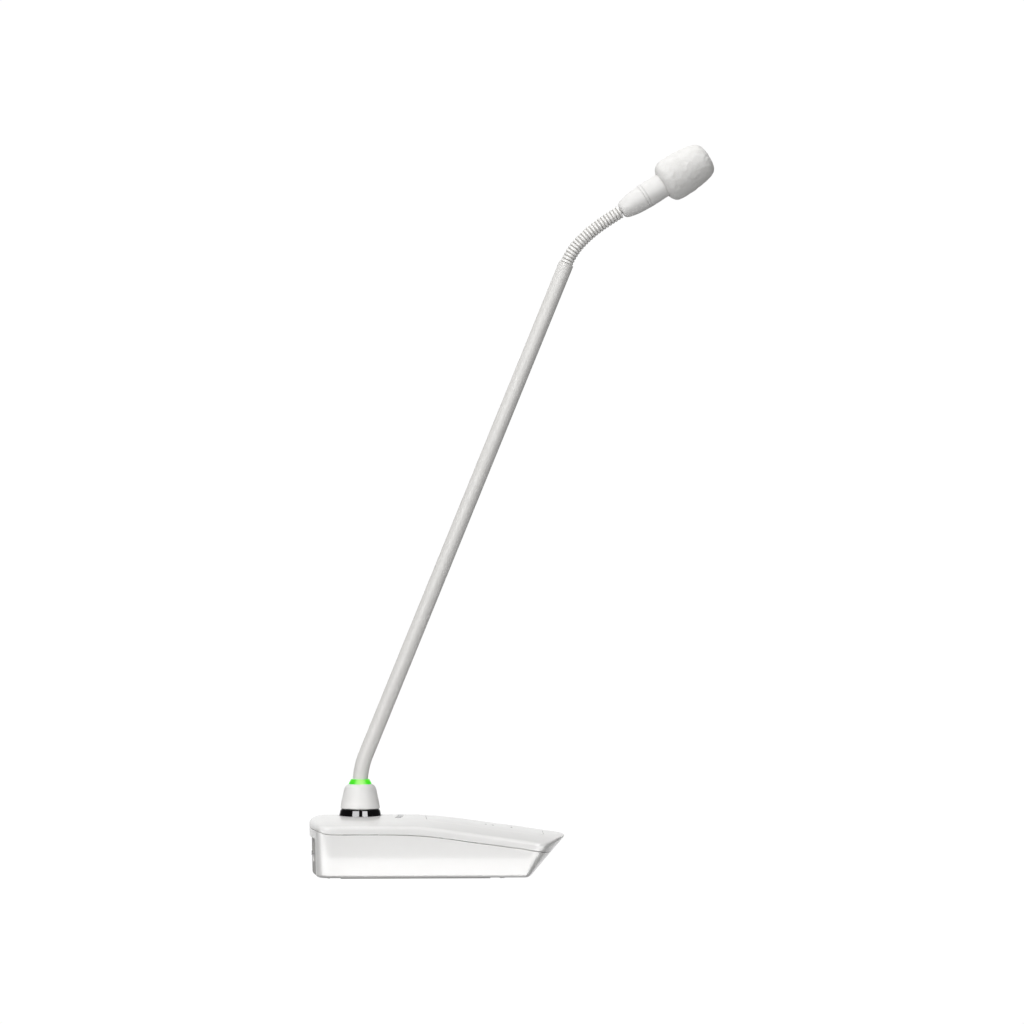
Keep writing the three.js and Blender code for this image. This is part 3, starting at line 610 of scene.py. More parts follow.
def foam_material():
    """Open-cell foam: pores as bump and colour, over a soft mottled white."""
    m, nt, bsdf, coord = new_material("foam")
    cells = nt.nodes.new("ShaderNodeTexVoronoi")
    cells.feature = "F1"
    cells.inputs["Scale"].default_value = 1900.0
    nt.links.new(coord.outputs["Object"], cells.inputs["Vector"])
    fine = noise(nt, coord, 3600.0, 3.0, 0.6)
    soft = noise(nt, coord, 260.0, 3.0, 0.6)
    pore = remap(nt, cells.outputs["Distance"], 0.12, 0.62, 0.0, 1.0)
    base = mix_colour(nt, pore, (0.795, 0.788, 0.77), (0.725, 0.717, 0.70))
    col = mix_colour(nt, remap(nt, soft, 0.35, 0.7, 0, 0.6), base, (0.83, 0.824, 0.812))
    nt.links.new(col, bsdf.inputs["Base Color"])
    nt.links.new(remap(nt, fine, 0.3, 0.7, 0.86, 1.0), bsdf.inputs["Roughness"])
    inv = remap(nt, cells.outputs["Distance"], 0.0, 0.7, 1.0, 0.0)
    n1 = bump(nt, bsdf, inv, 0.55, 0.00010)
    n2 = bump(nt, bsdf, fine, 0.4, 0.00005, n1)
    bump(nt, bsdf, soft, 0.3, 0.00012, n2)
    bsdf.inputs["Specular IOR Level"].default_value = 0.15
    bsdf.inputs["Sheen Weight"].default_value = 0.05
    bsdf.inputs["Sheen Roughness"].default_value = 0.5
    return m


M["foam"] = foam_material()


def green_material():
    """Lit translucent ring: emission paler towards the top, with a painted highlight, a paler spot centred on the -Y
    side and repeated at three places round the ring, deeper between them.
    """
    m, nt, bsdf, coord = new_material("green_light")
    sep = nt.nodes.new("ShaderNodeSeparateXYZ")
    nt.links.new(coord.outputs["Object"], sep.inputs[0])
    uneven = noise(nt, coord, 180.0, 2.0)
    up = remap(nt, sep.outputs["Z"], 0.0441, 0.0455, 0.0, 1.0)
    glow = mix_colour(nt, up, (0.02, 0.80, 0.002), (0.07, 0.84, 0.004))
    col = mix_colour(nt, remap(nt, uneven, 0.35, 0.65, 0, 0.3), glow, (0.06, 0.70, 0.005))
    # painted highlight: a paler green spot centred on the -Y side, repeated every 120 degrees round the ring
    around = nt.nodes.new("ShaderNodeMath")
    around.operation = "ARCTAN2"
    nt.links.new(sep.outputs["Y"], around.inputs[0])
    nt.links.new(sep.outputs["X"], around.inputs[1])
    thrice = nt.nodes.new("ShaderNodeMath")
    thrice.operation = "MULTIPLY_ADD"
    thrice.inputs[1].default_value = 3.0
    thrice.inputs[2].default_value = 1.5 * math.pi
    nt.links.new(around.outputs[0], thrice.inputs[0])
    painted_highlight_spot = nt.nodes.new("ShaderNodeMath")
    painted_highlight_spot.operation = "COSINE"
    nt.links.new(thrice.outputs[0], painted_highlight_spot.inputs[0])
    col = mix_colour(nt, remap(nt, painted_highlight_spot.outputs[0], -0.3, 1.0, 0.0, 1.0), col, (0.42, 0.95, 0.22))
    nt.links.new(col, bsdf.inputs["Emission Color"])
    bsdf.inputs["Emission Strength"].default_value = 0.95
    bsdf.inputs["Coat Weight"].default_value = 1.0
    bsdf.inputs["Coat Roughness"].default_value = 0.34
    nt.links.new(mix_colour(nt, uneven, (0.012, 0.07, 0.005), (0.018, 0.09, 0.007)), bsdf.inputs["Base Color"])
    nt.links.new(remap(nt, uneven, 0.3, 0.7, 0.22, 0.34), bsdf.inputs["Roughness"])
    bump(nt, bsdf, noise(nt, coord, 1200.0), 0.3, 0.00001)
    return m


M["green"] = green_material()


def neck_material():
    """Painted corrugated metal: the tube's paint, with painted shade darkening the grooves."""
    m, nt, bsdf, coord = new_material("neck_paint")
    depth = nt.nodes.new("ShaderNodeAttribute")
    depth.attribute_name = "painted_groove_shade"
    drift = noise(nt, coord, 90.0, 3.0, 0.55)
    paint = mix_colour(nt, remap(nt, drift, 0.3, 0.7, 0, 1), (0.80, 0.79, 0.772), (0.82, 0.812, 0.796))
    # painted shade: the colour darkens towards the bottom of each groove
    col = mix_colour(nt, remap(nt, depth.outputs["Fac"], 0.12, 0.95, 0.0, 1.0), paint, (0.36, 0.35, 0.33))
    nt.links.new(col, bsdf.inputs["Base Color"])
    nt.links.new(remap(nt, noise(nt, coord, 300.0, 3.0), 0.3, 0.7, 0.40, 0.50), bsdf.inputs["Roughness"])
    bump(nt, bsdf, noise(nt, coord, 3200.0), 0.5, 0.000004)
    return m


M["neck"] = neck_material()

# ------------------------------------------------------------------ top cover
BUTTON_RECT = rounded_rect(BUTTON_X0, BUTTON_X1, -BUTTON_HALF, BUTTON_HALF, BUTTON_R, n=12, side=1.5)
WINDOW_LOOP = window_arc(WINDOW_W, WINDOW_HALF - WINDOW_W / 2)


def build_top_cover():
    s = Skin()
    seat = circle(0, 0, 10.6, 96)
    bore = circle(0, 0, 9.0, 96)
    opening = lambda g=0.0: BUTTON_RECT(g + BUTTON_GAP - 0.03)
    slot = lambda g=0.0: WINDOW_LOOP(g + 0.16)
    # outer skin
    edge = on_top(O, EDGE_R, 0)
    v, f = fill(edge[:, :2], [seat(0.25), opening(0.12), slot(0.12)], 1.5)
    pts = lift(v, top_z)
    s.patch(pts, f)
    edge[:, 2] = top_z(edge[:, 0], edge[:, 1])
    rings = [edge]
    for a in np.linspace(0, math.pi / 2, 9)[1:]:
        rings.append(on_top(O, EDGE_R * (1 - math.sin(a)), EDGE_R * (1 - math.cos(a))))
    low = at_seam(O, 0, SEAM_GAP / 2 + 0.25)
    last = rings[-1]
    for t in (0.25, 0.5, 0.75, 1.0):
        z = last[:, 2] + (low[:, 2] - last[:, 2]) * t
        rings.append(wall(O, 0, z))
    for a in np.linspace(0, math.pi / 2, 5)[1:]:
        rings.append(wall(O, 0.25 * (1 - math.cos(a)), low[:, 2] - 0.25 * math.sin(a)))
    rings.append(wall(O, WALL, low[:, 2] - 0.25))
    inner = on_top(O, WALL, WALL)
    inner[:, 2] = top_z(inner[:, 0], inner[:, 1]) - WALL
    rings.append(inner)
    s.rings(rings)
    # inner skin
    v, f = fill(inner[:, :2], [bore(0), opening(0), slot(0)], 3.0)
    s.patch(lift(v, offset_z(top_z, -WALL)), f)
    # holes
    for loop, r in ((opening, 0.12), (slot, 0.12)):
        up = edge_rings(loop, top_z, r, -1, True)
        s.rings(up + [lift(loop(0), offset_z(top_z, -WALL))])
    up = edge_rings(seat, top_z, 0.25, -1, True)
    s.rings(up + [lift(seat(0), 28.2), lift(bore(0), 28.2), lift(bore(0), offset_z(top_z, -WALL))])
    # screw posts under the cover
    for x, y in SCREWS:
        top = float(top_z(x, y)) - 1
        s.rings([r + np.array([x, y, 0]) for r in lathe_rings([(1.3, 12.4), (3.0, 12.4), (3.0, top), (1.3, top), (1.3, 12.4)], 24)])
    return s.build("cover_shell", M["white"])


place(build_top_cover(), "base", ["top_cover"])

# ------------------------------------------------------------------ lower housing
PORTS = [
    rounded_rect(-16.2, -7.8, 7.5, 11.3, 1.25, n=6, side=1.2),      # as (y, z)
    circle(0, 10.6, 3.2, 40),
    rounded_rect(8.2, 15.8, 8.6, 11.4, 0.4, n=6, side=1.2),
]


def build_housing():
    s = Skin()
    z_low = HOUSING_BOTTOM + BOTTOM_R
    lip = 0.3
    top = at_seam(O, 0, -SEAM_GAP / 2 - lip)[:, 2]
    u_at = lambda y: HALF_LEN + y                                    # on the rear face the outline's parameter is y
    # outer wall, unrolled: u along the outline, z up; opened at the front centre
    m = 6
    right = np.linspace(z_low, top[0], m)
    uu = np.append(U, 2 * HALF_LEN)
    tt = np.append(top, top[0])
    loop = [(u, z_low) for u in uu] + [(2 * HALF_LEN, z) for z in right[1:-1]] + [(u, t) for u, t in zip(uu[::-1], tt[::-1])] + [(0.0, z) for z in right[1:-1][::-1]]
    port_uz = [lambda g, p=p: np.stack([u_at(p(g)[:, 0]), p(g)[:, 1]], 1) for p in PORTS]
    extra = []
    for off in (-0.12, 0.06, 0.17, 0.28, 0.39, 0.5, 0.68):
        h, t, r = BAY_HALF - off, BAY_TOP - off, BAY_R - off
        path = [(h, z) for z in np.arange(z_low + 0.5, t - r, 0.8)]
        path += [(h - r + r * math.cos(a), t - r + r * math.sin(a)) for a in np.linspace(0, math.pi / 2, 9)]
        path += [(y, t) for y in np.arange(h - r - 0.8, 0, -0.9)] + [(0.0, t)]
        extra += [(u_at(y), z) for y, z in path] + [(u_at(-y), z) for y, z in path if y > 0.1]
    v, f = fill(np.array(loop), [p(0.2) for p in port_uz], 1.7, np.array(extra))
    o = outline(v[:, 0])
    s.patch(wall(o, bay(o, v[:, 1]), v[:, 1]), f)
    # rounded lip at the parting line, then the inner wall down to the floor
    rings = []
    for a in np.linspace(0, math.pi / 2, 5):
        rings.append(wall(O, lip * (1 - math.cos(a)), top + lip * math.sin(a)))
    rings.append(wall(O, WALL, top + lip))
    s.rings(rings)
    inner_top = top + lip
    it = np.append(inner_top, inner_top[0])
    right = np.linspace(FLOOR_TOP, inner_top[0], m)
    loop = [(u, FLOOR_TOP) for u in uu] + [(2 * HALF_LEN, z) for z in right[1:-1]] + [(u, t) for u, t in zip(uu[::-1], it[::-1])] + [(0.0, z) for z in right[1:-1][::-1]]
    v, f = fill(np.array(loop), [p(0.0) for p in port_uz], 4.0)
    o = outline(v[:, 0])
    s.patch(wall(o, WALL, v[:, 1]), f)
    # port walls, through from the bay floor to the inner wall
    for p in port_uz:
        rings = []
        for a in np.linspace(0, math.pi / 2, 4):
            q = p(0.2 * (1 - math.sin(a)))
            oo = outline(q[:, 0])
            rings.append(wall(oo, bay(oo, q[:, 1]) + 0.2 * (1 - math.cos(a)), q[:, 1]))
        q = p(0.0)
        oo = outline(q[:, 0])
        rings.append(wall(oo, WALL, q[:, 1]))
        s.rings(rings)
    # rounded bottom edge
    rings = []
    b0 = lambda z: bay(O, np.full(NU, z))
    for a in np.linspace(0, math.pi / 2, 7):
        z = z_low - BOTTOM_R * math.sin(a)
        rings.append(wall(O, BOTTOM_R * (1 - math.cos(a)) + b0(z), z))
    s.rings(rings)
    rim = rings[-1]
    recess = rounded_rect(-17.3, 70.3, -29.3, 29.3, 6.3, n=10, side=2.2)
    v, f = fill(rim[:, :2], [recess(0.15)], 3.0)
    s.patch(lift(v, HOUSING_BOTTOM), f)
    s.rings(edge_rings(recess, HOUSING_BOTTOM, 0.15, 1, True, 2) + [lift(recess(0), 1.5)])
    wells = [circle(x, y, 2.66, 32) for x, y in SCREWS]
    pins = [circle(-12, y, 1.8, 24) for y in (-5, 0, 5)]
    v, f = fill(recess(0), [w(0) for w in wells + pins], 4.0)
    s.patch(lift(v, 1.5), f)
    for w in wells:
        s.rings([lift(w(0), 1.5), lift(w(0), 3.3)])
        s.cap(lift(w(0), 3.3))
    for p in pins:
        s.rings([lift(p(0), 1.5), lift(p(0), FLOOR_TOP)])
    floor = wall(O, WALL, FLOOR_TOP)
    v, f = fill(floor[:, :2], [p(0) for p in pins], 5.0)
    s.patch(lift(v, FLOOR_TOP), f)
    return s.build("housing_shell", M["white"])


housing = build_housing()
housing.data.materials.append(M["matte"])
# faces of the recessed connector bay get the darker grey: painted shade in the recess
for poly in housing.data.polygons:
    c = poly.center / MM
    if poly.normal.x < -0.6 and c.x < -20.5 and abs(c.y) < BAY_HALF - 0.15 and c.z < BAY_TOP - 0.15:
        poly.material_index = 1
place(housing, "base", ["lower_housing"])

# ------------------------------------------------------------------ button, its lenses and the status window
lens_holes = [circle(x, y, 0.78, 24) for x, y in PIPES]
plate = slab("button_plate", M["white"], lambda g=0.0: BUTTON_RECT(g + 0.18), lens_holes, top_z, offset_z(top_z, -2.3), 0.14, 0.1, 1.6)
flange = slab("button_flange", M["white"], rounded_rect(BUTTON_X0 - 1.2, BUTTON_X1 + 1.2, -BUTTON_HALF - 1.2, BUTTON_HALF + 1.2, BUTTON_R + 1.2, n=8, side=2.5), [circle(x, y, 0.95, 16) for x, y in PIPES], offset_z(top_z, -2.32), offset_z(top_z, -3.3), 0.15, 0.15, 3.5)
place(plate, "button", ["mute_button"])
place(flange, "button", [])
for i, (x, y) in enumerate(PIPES):
    dome = lambda px, py, x=x, y=y: top_z(px, py) + 0.03 - 0.25 * ((px - x) ** 2 + (py - y) ** 2)
    pipe = slab(f"status_lens_{i + 1}", M["window"], circle(x, y, 0.66, 24), [], dome, offset_z(top_z, -3.2), 0.08, 0.05, 0.4)
    place(pipe, "button", [f"status_led_{i + 1}"])
place(slab("window_arc", M["window"], WINDOW_LOOP, [], offset_z(top_z, -0.02), offset_z(top_z, -1.7), 0.12, 0.05, 0.9), "base", ["status_window"])

# ------------------------------------------------------------------ underside
pad = slab("foot_pad", M["rubber"], rounded_rect(-17, 70, -29, 29, 6, n=10, side=2.4),
           [rounded_rect(-14.5, -9.5, -8, 8, 2.0, n=6, side=1.5)], 1.2, 0.0, 0.1, 0.3, 2.6)
cutter = Skin()
for x, y in SCREWS:
    tube_loop = circle(x, y, 3.2, 40, 0.05)
    cutter.rings([lift(tube_loop(0), -1.0), lift(tube_loop(0), 2.2)])
    cutter.cap(lift(tube_loop(0), -1.0))
    cutter.cap(lift(tube_loop(0), 2.2))
cutter = cutter.build("pad_cutter", M["rubber"], 38, False)
pad.modifiers.clear()
cut = pad.modifiers.new("cut", "BOOLEAN")
cut.operation = "DIFFERENCE"
cut.object = cutter
cut.solver = "EXACT"
bpy.context.view_layer.update()
cut_mesh = bpy.data.meshes.new_from_object(pad.evaluated_get(bpy.context.evaluated_depsgraph_get()))
pad.modifiers.clear()
pad.data = cut_mesh
bpy.data.objects.remove(cutter)
pad.data.set_sharp_from_angle(angle=math.radians(38))
place(pad, "base", ["anti_slip_pad"])
for i, (x, y) in enumerate(SCREWS):
    s = Skin()
    head, drive = circle(x, y, 2.5, 48), star(x, y, 1.1)
    v, f = fill(head(-0.35), [drive(0.08)], 0.8)
    s.patch(lift(v, 1.6), f)
    s.rings(edge_rings(head, 1.6, 0.35, 1, False, 5) + [lift(head(0), 3.2)])
    s.rings(edge_rings(drive, 1.6, 0.08, 1, True, 2) + [lift(drive(0), 2.5)])
    s.cap(lift(drive(0), 2.5))
    shank = circle(x, y, 0.95, 48)
    s.rings([lift(head(0), 3.2), lift(shank(0), 3.2), lift(shank(0), 17.2), lift(shank(-0.5), 18.0)])
    s.cap(lift(shank(-0.5), 18.0))
    place(s.build(f"screw_{i + 1}", M["steel"]), "base", [f"base_screw_{i + 1}"])
for i, y in enumerate((-5, 0, 5)):
    prof = rounded_profile([(0, 0.7), (1.05, 0.7, 0.4), (1.4, 1.1, 0.2), (1.4, 5.6, 0.1), (0, 5.6)], closed=False)
    o = lathe(f"contact_{i + 1}", M["gold"], prof, 32, frame_matrix(-12, 0, 0, y), closed=False)
    place(o, "base", [f"charge_contact_{i + 1}"])


# ------------------------------------------------------------------ ports
def turned_x(obj_name, material, profile, x0, y, z, n=48, closed=True):
    """Lathe about the X axis; the profile's heights count along +X from x0."""
    m = np.array(Matrix.Translation((x0, y, z)) @ Matrix.Rotation(math.radians(90), 4, "Y"))
    return lathe(obj_name, material, profile, n, m, closed)


def swap_yz(obj, x0):
    """Turns a piece built flat (x=y', y=z', z=depth) so that it faces along -X."""
    m = Matrix(((0, 0, 1, x0 * MM), (1, 0, 0, 0), (0, 1, 0, 0), (0, 0, 0, 1)))
    obj.data.transform(m)
    return obj


usb_out = rounded_rect(-15.6, -8.4, 7.9, 10.9, 1.1, n=6, side=1.2)
usb_in = rounded_rect(-15.0, -9.0, 8.45, 10.35, 0.85, n=6, side=1.2)
s = Skin()
rim = edge_rings(usb_out, 0.0, 0.12, 1, False, 3)
mouth = edge_rings(usb_in, 0.0, 0.12, 1, True, 3)
v, f = fill(usb_out(-0.12), [usb_in(0.12)], 1.0)
s.patch(lift(v, 0.0), f)
s.rings(rim + [lift(usb_out(0), 6.4)])
s.rings(mouth + [lift(usb_in(0), 5.2)])
s.cap(lift(usb_in(0), 5.2))
s.cap(lift(usb_out(0), 6.4))
usb = swap_yz(s.build("usb_shell", M["steel"]), -22.4)
place(usb, "base", ["usb_connector"])
tongue = swap_yz(slab("usb_tongue", M["black"], rounded_rect(-14.2, -9.8, 9.05, 9.75, 0.2, n=3, side=1.0), [], 5.2, 0.9, 0.1, 0.1, 0.9), -22.4)
place(tongue, "base", [])
place(box_piece("jack_body", M["black"], -21.4, -11, -3.2, 3.2, 7.9, 13.4, 0.4), "base", ["headphone_jack"])
place(turned_x("jack_nose", M["black"], rounded_profile([(1.8, 0, 0.15), (2.8, 0, 0.3), (2.8, 1.7), (1.8, 1.7)]), -22.6, 0, 10.6, 48), "base", [])
place(turned_x("jack_sleeve", M["steel"], rounded_profile([(1.55, 0.5, 0.05), (1.79, 0.5, 0.05), (1.79, 1.6), (1.55, 1.6)]), -22.6, 0, 10.6, 48), "base", [])
place(box_piece("switch_body", M["black"], -21.2, -17, 7.6, 16.4, 7.9, 12.1, 0.4), "base", ["power_switch_body"])
s = Skin()
thumb = rounded_rect(8.6, 12.4, 8.9, 11.1, 0.35, n=4, side=0.19)
ribs = lambda x, y: 0.22 * (0.5 + 0.5 * np.cos((x - 10.5) * 2 * math.pi / 0.76))
v, f = fill(thumb(-0.12), [], 0.19)
s.patch(lift(v, ribs), f)
s.rings([lift(thumb(-0.12), ribs), lift(thumb(0.0), lambda x, y: ribs(x, y) * 0.4 + 0.14), lift(thumb(0), 0.3), lift(thumb(0), 1.9)])
s.cap(lift(thumb(0), 1.9))
place(swap_yz(s.build("switch_thumb", M["window"]), -23.4), "power_slider", ["power_switch_slider"])

# ------------------------------------------------------------------ stem socket
place(lathe("socket_sleeve", M["steel"], rounded_profile([(7.6, 8, 0.1), (8.6, 8, 0.2), (8.6, 31.6, 0.2), (7.6, 31.6, 0.3)]), 96), "base", ["socket_barrel"])
place(lathe("carrier", M["black"], rounded_profile([(0, 9), (7.25, 9, 0.2), (7.25, 12.5, 0.35), (5.2, 12.5), (5.2, 12.2), (0, 12.2)], closed=False), 72, closed=False), "base", ["pin_carrier"])
for i in range(6):
    a = math.radians(60 * i + 30)
    prof = rounded_profile([(0, 12.1), (0.6, 12.1), (0.6, 18.6, 0.35), (0.25, 19.0, 0.1), (0, 19.0)], closed=False)
    o = lathe(f"pin_{i + 1}", M["gold"], prof, 20, frame_matrix(3.6 * math.cos(a), 0, 0, 3.6 * math.sin(a)), closed=False)
    place(o, "base", [f"socket_pin_{i + 1}"])
ring_prof = rounded_profile([(9.0, 28.5), (10.28, 28.5, 0.08), (9.68, 31.3, 0.18), (9.1, 31.92, 0.15), (8.95, 31.92)], n=6)
place(lathe("bezel_ring", M["chrome"], ring_prof, 160), "base", ["socket_ring"])

# ------------------------------------------------------------------ collar, light ring, plug
collar = [(4.1, 34.1), (7.5, 34.1), (7.5, 32.12)] + [(9.2, 32.12), (9.36, 32.2), (9.45, 32.36)] + spline_profile([[32.55, 9.5], [33.4, 9.43], [35.6, 9.08], [37.75, 8.6], [39.9, 8.12], [41.5, 7.76], [42.4, 7.42], [43.1, 6.94], [43.55, 6.4], [43.84, 5.86], [43.95, 5.5]], 5) + [(5.35, 43.96), (5.35, 42.2), (4.1, 42.2)]
place(lathe("collar_bell", M["satin"], rounded_profile(collar, 0.0), 160, smooth_deg=40), "stem", ["collar_skirt"])
place(lathe("glow_ring", M["green"], rounded_profile([(4.0, 44.0), (5.5, 44.0, 0.05), (5.6, 44.2, 0.08), (5.0, 45.4, 0.5), (4.55, 46.2, 0.2), (4.4, 46.33, 0.08), (4.0, 46.33)], n=5), 128), "stem", ["light_ring"])
place(lathe("plug_barrel", M["steel"], rounded_profile([(6.3, 13.8, 0.1), (7.2, 13.8, 0.45), (7.2, 33.8), (4.1, 33.8), (4.1, 32.6), (6.3, 32.6)]), 96), "stem", ["plug_shell"])

# ------------------------------------------------------------------ stem tube
def stem_stations(z0, end_z, steps, reach):
    out = [(0.0, z0, 0.0), (0.0, BEND_Z - 6, 0.0)]
    for a in np.linspace(0, LEAN, steps + 1):
        r = math.radians(a)
        out.append((BEND_R - BEND_R * math.cos(r), BEND_Z + BEND_R * math.sin(r), a))
    x, z, _ = out[-1]
    for i in range(1, reach + 1):
        d = (end_z - z) / math.cos(math.radians(LEAN)) * i / reach
        out.append((x + d * math.sin(math.radians(LEAN)), z + d * math.cos(math.radians(LEAN)), LEAN))
    return out


def ring_at(st, r, n):
    x, z, a = st
    t = np.linspace(0, 2 * math.pi, n, endpoint=False)
    r = np.broadcast_to(r, (n,))
    u, v = r * np.cos(t), r * np.sin(t)
    c, q = math.cos(math.radians(a)), math.sin(math.radians(a))
    return np.stack([x + u * c, v, z - u * q], 1)


def step_along(st, d):
    return (st[0] + d * math.sin(math.radians(st[2])), st[1] + d * math.cos(math.radians(st[2])), st[2])


stations = stem_stations(27.5, TUBE_END_Z, 18, 12)
end = stations[-1]
s = Skin()
rings = [ring_at(stations[0], 2.75, 64), ring_at(stations[0], TUBE_R, 64)] + [ring_at(st, TUBE_R, 64) for st in stations[1:-1]]
for a in np.linspace(0, math.pi / 2, 6):
    rings.append(ring_at(step_along(end, -0.22 + 0.22 * math.sin(a)), TUBE_R - 0.22 * (1 - math.cos(a)), 64))
rings += [ring_at(end, 3.26, 64), ring_at(step_along(end, -3.0), 3.26, 64), ring_at(step_along(end, -3.0), 2.75, 64)]
rings += [ring_at(st, 2.75, 64) for st in stations[-2:0:-1]] + [ring_at(stations[0], 2.75, 64)]
s.rings(rings)
place(s.build("stem_pipe", M["tube"]), "stem", ["stem_tube"])

# ------------------------------------------------------------------ corrugated neck, one piece per joint
STEPS = 2000
_a = LEAN + (HEAD_ANGLE - LEAN) * (1 - (1 - (np.arange(STEPS) + 0.5) / STEPS) ** NECK_EASE)
_x = end[0] + np.concatenate([[0], np.cumsum(np.sin(np.radians(_a)) * NECK_LENGTH / STEPS)])
_z = end[1] + np.concatenate([[0], np.cumsum(np.cos(np.radians(_a)) * NECK_LENGTH / STEPS)])
_s = np.linspace(0, NECK_LENGTH, STEPS + 1)
_t = LEAN + (HEAD_ANGLE - LEAN) * (1 - (1 - _s / NECK_LENGTH) ** NECK_EASE)


def neck_station(q):
    if q < 0:
        return step_along((_x[0], _z[0], _t[0]), q)
    if q > NECK_LENGTH:
        return step_along((_x[-1], _z[-1], _t[-1]), q - NECK_LENGTH)
    return (float(np.interp(q, _s, _x)), float(np.interp(q, _s, _z)), float(np.interp(q, _s, _t)))


RIBS, SIDES, PER_RIB = 22, 64, 12
PITCH, RIB = NECK_LENGTH / RIBS, 0.46


def neck_radius(q, theta):
    w = 0.5 + 0.5 * math.cos(2 * math.pi * q / PITCH)
    full = NECK_R + 0.05 - RIB * w ** 3 + 0.0 * theta
    # the last rib tapers to the core, so that the head has room to tip
    return np.minimum(full, 3.2 - 3.8 * (q - 36.93)) if q > 36.93 else full


J0, J1 = 0.25, NECK_LENGTH - 0.25
joint_s = [J0 + (J1 - J0) * i / LINKS for i in range(LINKS + 1)]
half = (J1 - J0) / LINKS / 2
chain = ["stem"] + [f"neck_{i:02d}" for i in range(1, LINKS + 1)] + ["head"]
theta = np.linspace(0, 2 * math.pi, SIDES, endpoint=False)


def neck_surface(q, th):
    x, z, a = neck_station(q)
    r = neck_radius(q, th)
    c, k = math.cos(math.radians(a)), math.sin(math.radians(a))
    return np.stack([x + r * np.cos(th) * c, r * np.sin(th), z - r * np.cos(th) * k], 1)


for i, sj in enumerate(joint_s):
    a = -1.6 if i == 0 else sj - half
    b = NECK_LENGTH - 0.09 if i == LINKS else sj + half
    grid = np.arange(math.ceil(a / PITCH * PER_RIB + 0.3), math.floor(b / PITCH * PER_RIB - 0.3) + 1) * PITCH / PER_RIB
    qs = np.concatenate([[a], grid, [b]])
    pts, nrm = [], []
    for q in qs:
        p = neck_surface(q, theta)
        e = 0.01
        dq = neck_surface(q + e, theta) - neck_surface(q - e, theta)
        dt = neck_surface(q, theta + e) - neck_surface(q, theta - e)
        n = np.cross(dt, dq)
        pts.append(p)
        nrm.append(n / np.linalg.norm(n, axis=1)[:, None])
    n = SIDES
    co = np.vstack(pts + [pts[0].mean(0)[None], pts[-1].mean(0)[None]])
    faces, normals = [], []
    alln = np.vstack(nrm)
    for k in range(len(qs) - 1):
        for j in range(n):
            f = (k * n + j, k * n + (j + 1) % n, (k + 1) * n + (j + 1) % n, (k + 1) * n + j)
            faces.append(f)
            normals += [alln[t] for t in f]
    axis0 = np.array([math.sin(math.radians(neck_station(a)[2])), 0, math.cos(math.radians(neck_station(a)[2]))])
    axis1 = np.array([math.sin(math.radians(neck_station(b)[2])), 0, math.cos(math.radians(neck_station(b)[2]))])
    m0, m1, base = len(qs) * n, len(qs) * n + 1, (len(qs) - 1) * n
    for j in range(n):
        faces.append(((j + 1) % n, j, m0))
        normals += [-axis0] * 3
        faces.append((base + j, base + (j + 1) % n, m1))
        normals += [axis1] * 3
    mesh = bpy.data.meshes.new(f"neck_wrap_{i:02d}")
    mesh.from_pydata((co * MM).tolist(), [], faces)
    mesh.polygons.foreach_set("use_smooth", [True] * len(mesh.polygons))
    mesh.normals_split_custom_set([tuple(v) for v in normals])
    # groove level per ring, read by the material as painted shade in the grooves
    depth = mesh.attributes.new("painted_groove_shade", "FLOAT", "POINT")
    level = np.repeat([(0.5 + 0.5 * math.cos(2 * math.pi * q / PITCH)) ** 3 for q in qs], n)
    depth.data.foreach_set("value", np.concatenate([level, [0.0, 0.0]]).astype(np.float32))
    mesh.materials.append(M["neck"])
    obj = bpy.data.objects.new(f"neck_wrap_{i:02d}", mesh)
    scene.collection.objects.link(obj)
    if i == LINKS:
        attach(obj, chain[i])
    else:
        p0, p1 = neck_station(-0.15 if i == 0 else sj - half + 0.12), neck_station(sj + half - 0.12)
        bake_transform(obj)
    if i < LINKS:
        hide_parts(f"neck_link_{i + 1:02d}")

# short core that carries the wires from the last rib into the head
core = Skin()
core_rings = [ring_at(neck_station(q), w, 32) for q, w in ((35.6, 0.9), (35.8, 1.1), (37.0, 1.1), (38.3, 1.1), (38.5, 0.9))]
core.rings(core_rings)
core.cap(core_rings[0])
core.cap(core_rings[-1])
place(core.build("neck_core", M["tube"]), "neck_10", [])

# ------------------------------------------------------------------ head
HEAD = frame_matrix(HEAD_POINT[0], HEAD_POINT[1], HEAD_ANGLE)
shell = [(1.4, -1.45)] + spline_profile([[-1.45, 3.2], [-1.1, 3.7], [0, 4.4], [0.9, 4.72], [2.2, 5.02], [4.0, 5.4], [6.2, 5.72], [8.6, 5.92], [11.15, 6.02]], 4) + [(5.93, 11.25), (5.1, 11.25), (4.7, 6.2), (3.6, 2.2), (1.4, 1.0)]
place(lathe("head_bell", M["satin"], shell, 128, HEAD), "head", ["head_shell"])
place(lathe("head_band", M["satin"], rounded_profile([(5.1, 11.35), (6.1, 11.35, 0.12), (6.15, 12.75, 0.12), (5.1, 12.75)]), 128, HEAD), "head", ["trim_band"])
barrel = rounded_profile([(5.1, 12.85), (6.15, 12.85, 0.12), (6.15, 17.0, 3), (6.05, 20.0, 3), (6.05, 38.0, 0.1), (5.1, 38.0)])
place(lathe("head_barrel", M["satin"], barrel, 128, HEAD), "head", ["capsule_housing"])
place(lathe("grille_cap", M["window"], rounded_profile([(5.1, 38.3), (6.05, 38.3, 0.1), (6.05, 40.2, 0.3), (5.2, 41.4, 0.4), (0, 41.6), (0, 40.8), (4.8, 40.6), (5.1, 39.9)], closed=False), 96, HEAD, closed=True), "head", ["capsule_grille"])

